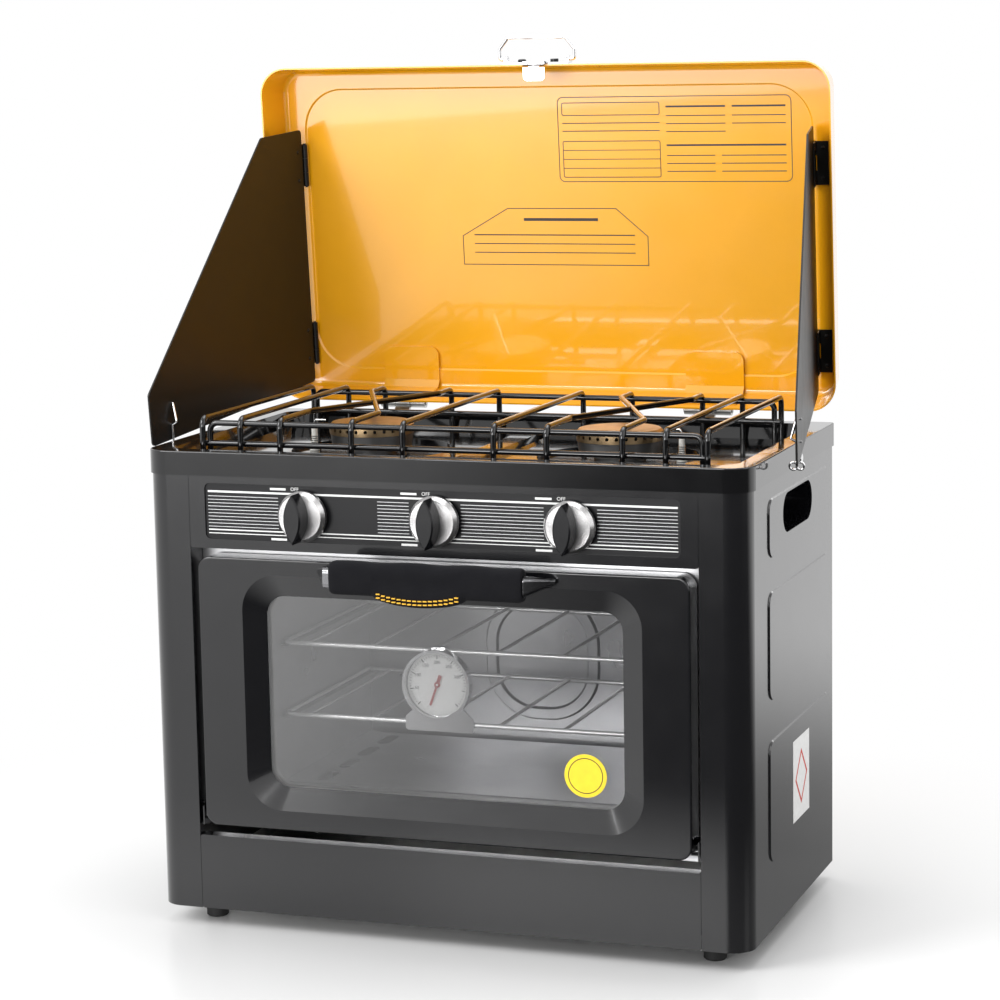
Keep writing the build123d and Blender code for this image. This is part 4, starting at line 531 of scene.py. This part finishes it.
# Glass: a plain yellow disc with a thin ring
glass_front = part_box("door_glass")[0][1]
disc_centre = Vector((122 * MM, glass_front - PRINT_GAP, 152 * MM))
disc_radius, ring_radius, ring_width = 18 * MM, 14.5 * MM, 0.7 * MM
disc_steps = 48
disc_points = arc(0, 0, disc_radius, 0, 360, disc_steps)[:-1]
disc_vertices = [disc_centre + X * x + Z * z for x, z in disc_points]
disc_vertices += [v - Y * STICKER_THICKNESS for v in disc_vertices]
disc_faces = [tuple(range(disc_steps)), tuple(range(2 * disc_steps - 1, disc_steps - 1, -1))]
for i in range(disc_steps):
    j = (i + 1) % disc_steps
    disc_faces.append((i, disc_steps + i, disc_steps + j, j))
make_piece("glass_disc", disc_vertices, disc_faces, yellow_print, "door")
ring_points = arc(0, 0, ring_radius, 0, 360, disc_steps)[:-1]
make_piece("glass_disc_ring", *ribbon(ring_points, ring_width, disc_centre - Y * STICKER_TOP,
                                      X, Z, -Y, LINE_THICKNESS, closed=True),
           black_print, "door")

# Side panel: a plain white card with a red diamond outline
side_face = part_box("side_panel_right")[1][0]
card_centre = Vector((side_face + PRINT_GAP, 22 * MM, 123 * MM))
card_half_width, card_half_height = 28 * MM, 35 * MM
diamond_half_width, diamond_half_height, diamond_line = 19 * MM, 22 * MM, 2.6 * MM
card = [(-card_half_width, card_half_width, -card_half_height, card_half_height)]
make_piece("side_card", *strip_boxes(card, card_centre, Y, Z, X, STICKER_THICKNESS),
           white_print, "cabinet")
diamond = [(0, -diamond_half_height), (diamond_half_width, 0), (0, diamond_half_height),
           (-diamond_half_width, 0)]
make_piece("side_card_square", *ribbon(diamond, diamond_line, card_centre + X * STICKER_TOP,
                                       Y, Z, X, LINE_THICKNESS, closed=True),
           red_print, "cabinet")

# Lid: thin outlines on its inner face, with no words in them. Its opening edge and lean
# are those of the CAD, as are its inner depth and the rise of the pressed panel.
lean = math.radians(4.57)
lid_origin = Vector((0, 144.4, 416.7)) * MM
lid_inner_depth = 38.8 * MM
panel_rise = 1.5 * MM
lid_up = Vector((0, -math.sin(lean), math.cos(lean)))
lid_back = Vector((0, math.cos(lean), math.sin(lean)))
lid_face = lid_origin + lid_back * (lid_inner_depth + panel_rise - LID_PRINT_GAP)
line_width = 0.7 * MM
frames = [
    rounded_outline(6 * MM, 219 * MM, 196 * MM, 271 * MM, 5 * MM),
    rounded_outline(10 * MM, 100 * MM, 200 * MM, 232 * MM, 1.5 * MM),
    rounded_outline(10 * MM, 100 * MM, 255 * MM, 266 * MM, 1.5 * MM),
    [(-89 * MM, 121 * MM), (86 * MM, 121 * MM), (86 * MM, 147 * MM), (57 * MM, 172 * MM),
     (-45 * MM, 172 * MM), (-89 * MM, 147 * MM)],
]
lines = [ribbon(points, line_width, lid_face, X, lid_up, -lid_back, LINE_THICKNESS, closed=True)
         for points in frames]
# Each rule's two ends, its height and half its width, in millimetres
rules = [(x0 * MM, x1 * MM, (z - half) * MM, (z + half) * MM) for x0, x1, z, half in (
    (106, 160, 262, 0.8), (106, 160, 254, 0.4), (106, 160, 247, 0.4), (106, 160, 240, 0.4),
    (166, 214, 262, 0.8), (166, 214, 254, 0.4), (166, 214, 247, 0.4), (106, 214, 228, 0.8),
    (106, 150, 219, 0.4), (106, 150, 212, 0.4), (106, 150, 205, 0.4), (156, 214, 219, 0.4),
    (156, 214, 212, 0.4), (156, 214, 205, 0.4), (10, 100, 248, 0.4), (10, 100, 241, 0.4),
    (10, 100, 224, 0.3), (10, 100, 216, 0.3), (10, 100, 208, 0.3), (-78, 74, 148, 0.5),
    (-78, 74, 140, 0.4), (-78, 74, 132, 0.4), (-30, 40, 162, 1.3))]
lines.append(strip_boxes(rules, lid_face, X, lid_up, -lid_back, LINE_THICKNESS))
make_piece("lid_outlines", *merged(lines), black_print, "lid")


# Rivets on the wind shields' hinges: small flattened balls, half sunk, in rows
dome_height = 0.45
dome_segments, dome_rings = 16, 8


def dome(place, out, radius):
    """Vertices and faces of one flattened ball that faces out."""
    turn = out.to_track_quat("Z", "Y").to_matrix()
    spots = [Vector((0, 0, -dome_height))]
    for ring in range(1, dome_rings):
        tilt = math.pi * ring / dome_rings
        for i in range(dome_segments):
            angle = 2 * math.pi * i / dome_segments
            spots.append(Vector((math.sin(tilt) * math.cos(angle),
                                 math.sin(tilt) * math.sin(angle), -math.cos(tilt) * dome_height)))
    spots.append(Vector((0, 0, dome_height)))
    top = len(spots) - 1
    last = top - dome_segments
    faces = []
    for i in range(dome_segments):
        j = (i + 1) % dome_segments
        faces.append((0, 1 + j, 1 + i))
        for low in range(1, last, dome_segments):
            high = low + dome_segments
            faces.append((low + i, low + j, high + j, high + i))
        faces.append((last + i, last + j, top))
    return [place + turn @ spot * radius for spot in spots], faces


# The hinges' places and splay are those of the CAD, in millimetres and degrees
splay = math.radians(9.67)
hinge_heights = (46.9, 212.2)
shield_hinge_x = 238.4
shield_hinge_depth = 35.3
rivet_step = 13.0
rivet_reach = 11
outer_face = 2.8
plate_reach = 8.8
plate_face_depth = lid_inner_depth - 1.5 * MM
for name, side in (("left", -1), ("right", 1)):
    along = Vector((side * math.sin(splay), 0, 0)) - lid_back * math.cos(splay)
    out = Vector((side * math.cos(splay), 0, 0)) + lid_back * math.sin(splay)
    heel = lid_origin + X * side * shield_hinge_x * MM + lid_back * shield_hinge_depth * MM
    inner, outer, plate = [], [], []
    for height in hinge_heights:
        for step in (-rivet_step, rivet_step):
            rise = lid_up * (height + step) * MM
            spot = heel + along * rivet_reach * MM + rise
            inner.append(spot)
            outer.append(spot + out * outer_face * MM)
            plate.append(lid_origin + rise + lid_back * plate_face_depth
                         + X * side * (shield_hinge_x + plate_reach) * MM)
    for kind, places, facing, radius, body in (
            ("shield_rivets_inner", inner, -out, 2.0, f"shield_{name}"),
            ("shield_rivets_outer", outer, out, 2.2, f"shield_{name}"),
            ("shield_plate_rivets", plate, -lid_back, 2.0, "lid")):
        balls = [dome(place, facing, radius * MM) for place in places]
        make_piece(f"{kind}_{name}", *merged(balls), shield_paint, body, "black_steel",
                   smooth=True)

# Cloth sleeve on the handle: a soft tube round the bar whose middle hangs down in a loop
grip_low, grip_high = (Vector(v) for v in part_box("handle_grip"))
grip_x = (grip_low.x + grip_high.x) / 2
grip_half = (grip_high.x - grip_low.x) / 2
grip_y = (grip_low.y + grip_high.y) / 2
cloth_inset = 1.2 * MM
sleeve_depth = (grip_high.y - grip_low.y) / 2 - cloth_inset
sleeve_hang = 8.0 * MM
sleeve_top = grip_high.z
sleeve_low = grip_low.z + sleeve_hang
loop_low, loop_high = -42 * MM, 36 * MM
columns, rounds = 120, 40
round_y, round_z = 0.60, 0.68
top_wave, top_waves, top_phase = 0.8 * MM, 5.0, 0.8
end_length, end_share = 4 * MM, 0.90
crease_depth, crease_fine, crease_coarse = 0.25 * MM, 190, 55
dip_depth, dip_place, dip_width = 2.0 * MM, 0.05, 0.32
swell_height, swell_place, swell_width = 1.0 * MM, -0.55, 0.25
cap_step, cap_share = 0.8 * MM, 0.62


def sleeve_sag(x):
    """How far the loop hangs at x, from 0 at its ends to 1."""
    share = (x - loop_low) / (loop_high - loop_low)
    return math.sin(math.pi * min(1.0, max(0.0, share))) ** 0.5


def hump(value, place, width):
    """A smooth hump of height 1 round a place."""
    return math.exp(-((value - place) / width) ** 2)


sleeve_vertices, sleeve_faces = [], []
for i in range(columns + 1):
    x = grip_x - grip_half + 2 * grip_half * i / columns
    sag = sleeve_sag(x)
    low = sleeve_low - sag * sleeve_hang
    high = sleeve_top - top_wave * math.sin(top_waves * (x - grip_x) / grip_half + top_phase) ** 2
    centre_z = (low + high) / 2
    half_z = (high - low) / 2
    to_end = min(1.0, (grip_half - abs(x - grip_x)) / end_length)
    pinch = end_share + (1 - end_share) * math.sqrt(max(0.0, to_end))
    for j in range(rounds):
        turn = 2 * math.pi * j / rounds
        cy, cz = math.cos(turn), math.sin(turn)
        square_y = math.copysign(abs(cy) ** round_y, cy)
        square_z = math.copysign(abs(cz) ** round_z, cz)
        front = max(0.0, -cy)
        crease = crease_depth * math.sin(x * crease_fine + 2 * square_z)
        crease *= math.sin(x * crease_coarse + 1.0)
        # The tube stays flat above the loop, which swells again along its hanging edge
        dip = dip_depth * sag * hump(square_z, dip_place, dip_width)
        swell = swell_height * sag * hump(square_z, swell_place, swell_width)
        y = grip_y + square_y * sleeve_depth * pinch + front * (crease + dip - swell)
        sleeve_vertices.append(Vector((x, y, centre_z + square_z * half_z * pinch)))
for i in range(columns):
    for j in range(rounds):
        k = (j + 1) % rounds
        a, b = i * rounds, (i + 1) * rounds
        sleeve_faces.append((a + j, a + k, b + k, b + j))
for end_index, flip in ((0, False), (columns, True)):
    first = end_index * rounds
    ring = sleeve_vertices[first:first + rounds]
    centre = sum(ring, Vector()) / rounds
    base = len(sleeve_vertices)
    step = X * cap_step * (1 if flip else -1)
    sleeve_vertices += [centre + (v - centre) * cap_share - step for v in ring]
    sleeve_vertices.append(centre - step * 2)
    for j in range(rounds):
        k = (j + 1) % rounds
        for face in ((first + j, base + j, base + k, first + k),
                     (base + j, base + rounds, base + k)):
            sleeve_faces.append(tuple(reversed(face)) if flip else face)
sleeve = make_piece("grip_sleeve", sleeve_vertices, sleeve_faces, grip_cloth, "door",
                    "grip_fabric", smooth=True)
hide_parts("handle_grip")

# Two rows of yellow stitching along the loop's hanging edge
stitch_count, first_stitch, stitch_margins = 16, 1.2, 1.4
stitch_half_length, stitch_half_width = 1.6 * MM, 0.5 * MM
stitch_depth, stitch_thickness = 1.6 * MM, 0.0014
stitches = []
for stitch_rise in (3.6 * MM, 6.6 * MM):
    for i in range(stitch_count):
        share = (i + first_stitch) / (stitch_count + stitch_margins)
        x = loop_low + (loop_high - loop_low) * share
        z = sleeve_low - sleeve_sag(x) * sleeve_hang + stitch_rise
        stitches.append((x - stitch_half_length, x + stitch_half_length,
                         z - stitch_half_width, z + stitch_half_width))
stitch_origin = Vector((0, grip_low.y + stitch_depth, 0))
make_piece("grip_stitches", *strip_boxes(stitches, stitch_origin, X, Z, -Y, stitch_thickness),
           yellow_thread, "door", "grip_fabric")

# Igniter threads: fine rings round each ceramic post
igniter_low, igniter_high = (Vector(v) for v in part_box("igniters"))
post_inset = 4.4 * MM
post_y = middle("igniters").y
thread_count, thread_steps = 5, 20
thread_start, thread_pitch = 13.5 * MM, 1.8 * MM
thread_radius, thread_half = 3.0 * MM, 0.35 * MM
thread_root = 0.85
turns = [2 * math.pi * k / thread_steps for k in range(thread_steps)]
spokes = [Vector((math.cos(t), math.sin(t), 0)) * thread_radius for t in turns]
rings = []
for x in (igniter_low.x + post_inset, igniter_high.x - post_inset):
    for i in range(thread_count):
        centre = Vector((x, post_y, igniter_low.z + thread_start + thread_pitch * i))
        vertices = [centre + spoke - Z * thread_half for spoke in spokes]
        vertices += [centre + spoke + Z * thread_half for spoke in spokes]
        vertices += [centre + spoke * thread_root for spoke in spokes]
        faces = []
        for k in range(thread_steps):
            m = (k + 1) % thread_steps
            low, high, root = ((base + k, base + m)
                               for base in (0, thread_steps, 2 * thread_steps))
            faces += [(*low, high[1], high[0]), (*high, root[1], root[0]), (*root, low[1], low[0])]
        rings.append((vertices, faces))
make_piece("igniter_threads", *merged(rings), chrome, "cabinet", "chrome")

# Studio: floor, world, lamps and camera
world_level = 0.80
# Darkest level of the painted shade that reflections see on the floor
reflected_shade_level = 0.08
white_start, white_end = 0.34, 0.75
dark_start, dark_end, dark_slant = -0.30, 0.25, -0.3
rear_start, rear_end = 0.0, 1.3
floor_half = 6
floor_mesh = bpy.data.meshes.new("floor")
floor_mesh.from_pydata([(x * floor_half, y * floor_half, 0)
                        for x, y in ((-1, -1), (1, -1), (1, 1), (-1, 1))], [], [(0, 1, 2, 3)])
floor = bpy.data.objects.new("floor", floor_mesh)
bpy.context.scene.collection.objects.link(floor)
floor_paint, tree, shader = new_material("floor_paint")
vector = object_coordinates(tree)
axes = tree.nodes.new("ShaderNodeSeparateXYZ")
tree.links.new(vector, axes.inputs["Vector"])
reach = tree.nodes.new("ShaderNodeVectorMath")
reach.operation = "LENGTH"
tree.links.new(vector, reach.inputs[0])
path, seen = direct_rays(tree)
# Painted shade in reflections: glossy rays see the floor darker ahead of the cabinet on the right,
# which darkens the black front's reflections there; the camera sees the floor unchanged
slant = maths(tree, "MULTIPLY", axes.outputs["Y"], dark_slant)
slant = maths(tree, "ADD", axes.outputs["X"], slant)
to_left = fade(tree, slant, dark_start, dark_end, 1.0, reflected_shade_level)
to_rear = fade(tree, axes.outputs["Y"], rear_start, rear_end)
darker = maths(tree, "SUBTRACT", 1.0, maths(tree, "MAXIMUM", to_left, to_rear))
painted_reflection_shade = maths(tree, "MULTIPLY", path.outputs["Is Glossy Ray"], darker)
level = maths(tree, "SUBTRACT", 1.0, painted_reflection_shade)
tones = ramp(tree, noise(tree, vector, 1.2), [(0.3, (0.70, 0.70, 0.70)), (0.7, (0.73, 0.73, 0.73))])
paint = tree.nodes.new("ShaderNodeMix")
paint.data_type = "RGBA"
paint.blend_type = "MULTIPLY"
paint.inputs["Factor"].default_value = 1.0
tree.links.new(tones, paint.inputs[6])
tree.links.new(level, paint.inputs[7])
tree.links.new(paint.outputs[2], shader.inputs["Base Color"])
shader.inputs["Roughness"].default_value = 0.30
shader.inputs["Specular IOR Level"].default_value = 0.3
# Away from the object the floor fades into the white backdrop
glow = add_node(tree, "ShaderNodeEmission")
# The glow carries the same painted shade for reflections
tree.links.new(level, glow.inputs["Strength"])
far = fade(tree, reach.outputs["Value"], white_start, white_end)
blend_shaders(tree, maths(tree, "MULTIPLY", far, seen), shader.outputs["BSDF"],
              glow.outputs["Emission"])
floor.data.materials.append(floor_paint)

world = bpy.data.worlds.new("studio")
bpy.context.scene.world = world
world.use_nodes = True
world_tree = world.node_tree
background = world_tree.nodes["Background"]
seen = direct_rays(world_tree)[1]
world_tree.links.new(spread(world_tree, seen, world_level, 1.0), background.inputs["Strength"])
background.inputs["Color"].default_value = (1, 1, 1, 1)


def area_light(name, place, target, size, power):
    """A rectangular soft lamp aimed at a point."""
    lamp = bpy.data.lights.new(name, "AREA")
    lamp.shape = "RECTANGLE"
    lamp.size, lamp.size_y = size
    lamp.energy = power
    held = bpy.data.objects.new(name, lamp)
    held.location = place
    held.rotation_euler = (Vector(target) - Vector(place)).to_track_quat("-Z", "Y").to_euler()
    bpy.context.scene.collection.objects.link(held)


middle_point = (0.0, 0.0, 0.35)
area_light("key_light", (-1.8, -1.8, 2.1), middle_point, (1.4, 1.4), 56)
area_light("fill_light", (-0.5, -3.0, 0.78), (0.0, 0.0, 0.4), (1.2, 0.8), 28)
area_light("right_light", (2.2, -0.2, 1.1), middle_point, (0.9, 1.8), 7)
area_light("sheen_light", (-1.3, -3.3, 0.34), (0.0, 0.1, 0.6), (1.5, 0.6), 9)
area_light("top_light", (0.1, 0.2, 2.4), middle_point, (1.6, 1.2), 22)
area_light("back_light", (0.6, 2.0, 1.5), (0.0, 0.1, 0.55), (1.6, 1.0), 12)

# Camera at the photograph's place, with its focal length in pixels of the photograph
azimuth = math.radians(19.651)
elevation = math.radians(8.759)
roll = math.radians(-1.041)
camera_place = Vector((838.92, -2339.39, 735.44)) * MM
focal_pixels, photo_pixels = 2940.628, 1000.0
sensor_width = 36.0
back = Vector((math.sin(azimuth) * math.cos(elevation),
               -math.cos(azimuth) * math.cos(elevation), math.sin(elevation)))
right = (-back).cross(Z).normalized()
up = right.cross(-back)
turned_right = right * math.cos(roll) + up * math.sin(roll)
turned_up = up * math.cos(roll) - right * math.sin(roll)
camera_data = bpy.data.cameras.new("camera")
camera_data.sensor_width = sensor_width
camera_data.lens = focal_pixels * sensor_width / photo_pixels
camera = bpy.data.objects.new("camera", camera_data)
camera.matrix_world = Matrix.Translation(camera_place) @ Matrix(
    (turned_right, turned_up, back)).transposed().to_4x4()
bpy.context.scene.collection.objects.link(camera)
bpy.context.scene.camera = camera
bpy.context.scene.view_settings.view_transform = "Standard"
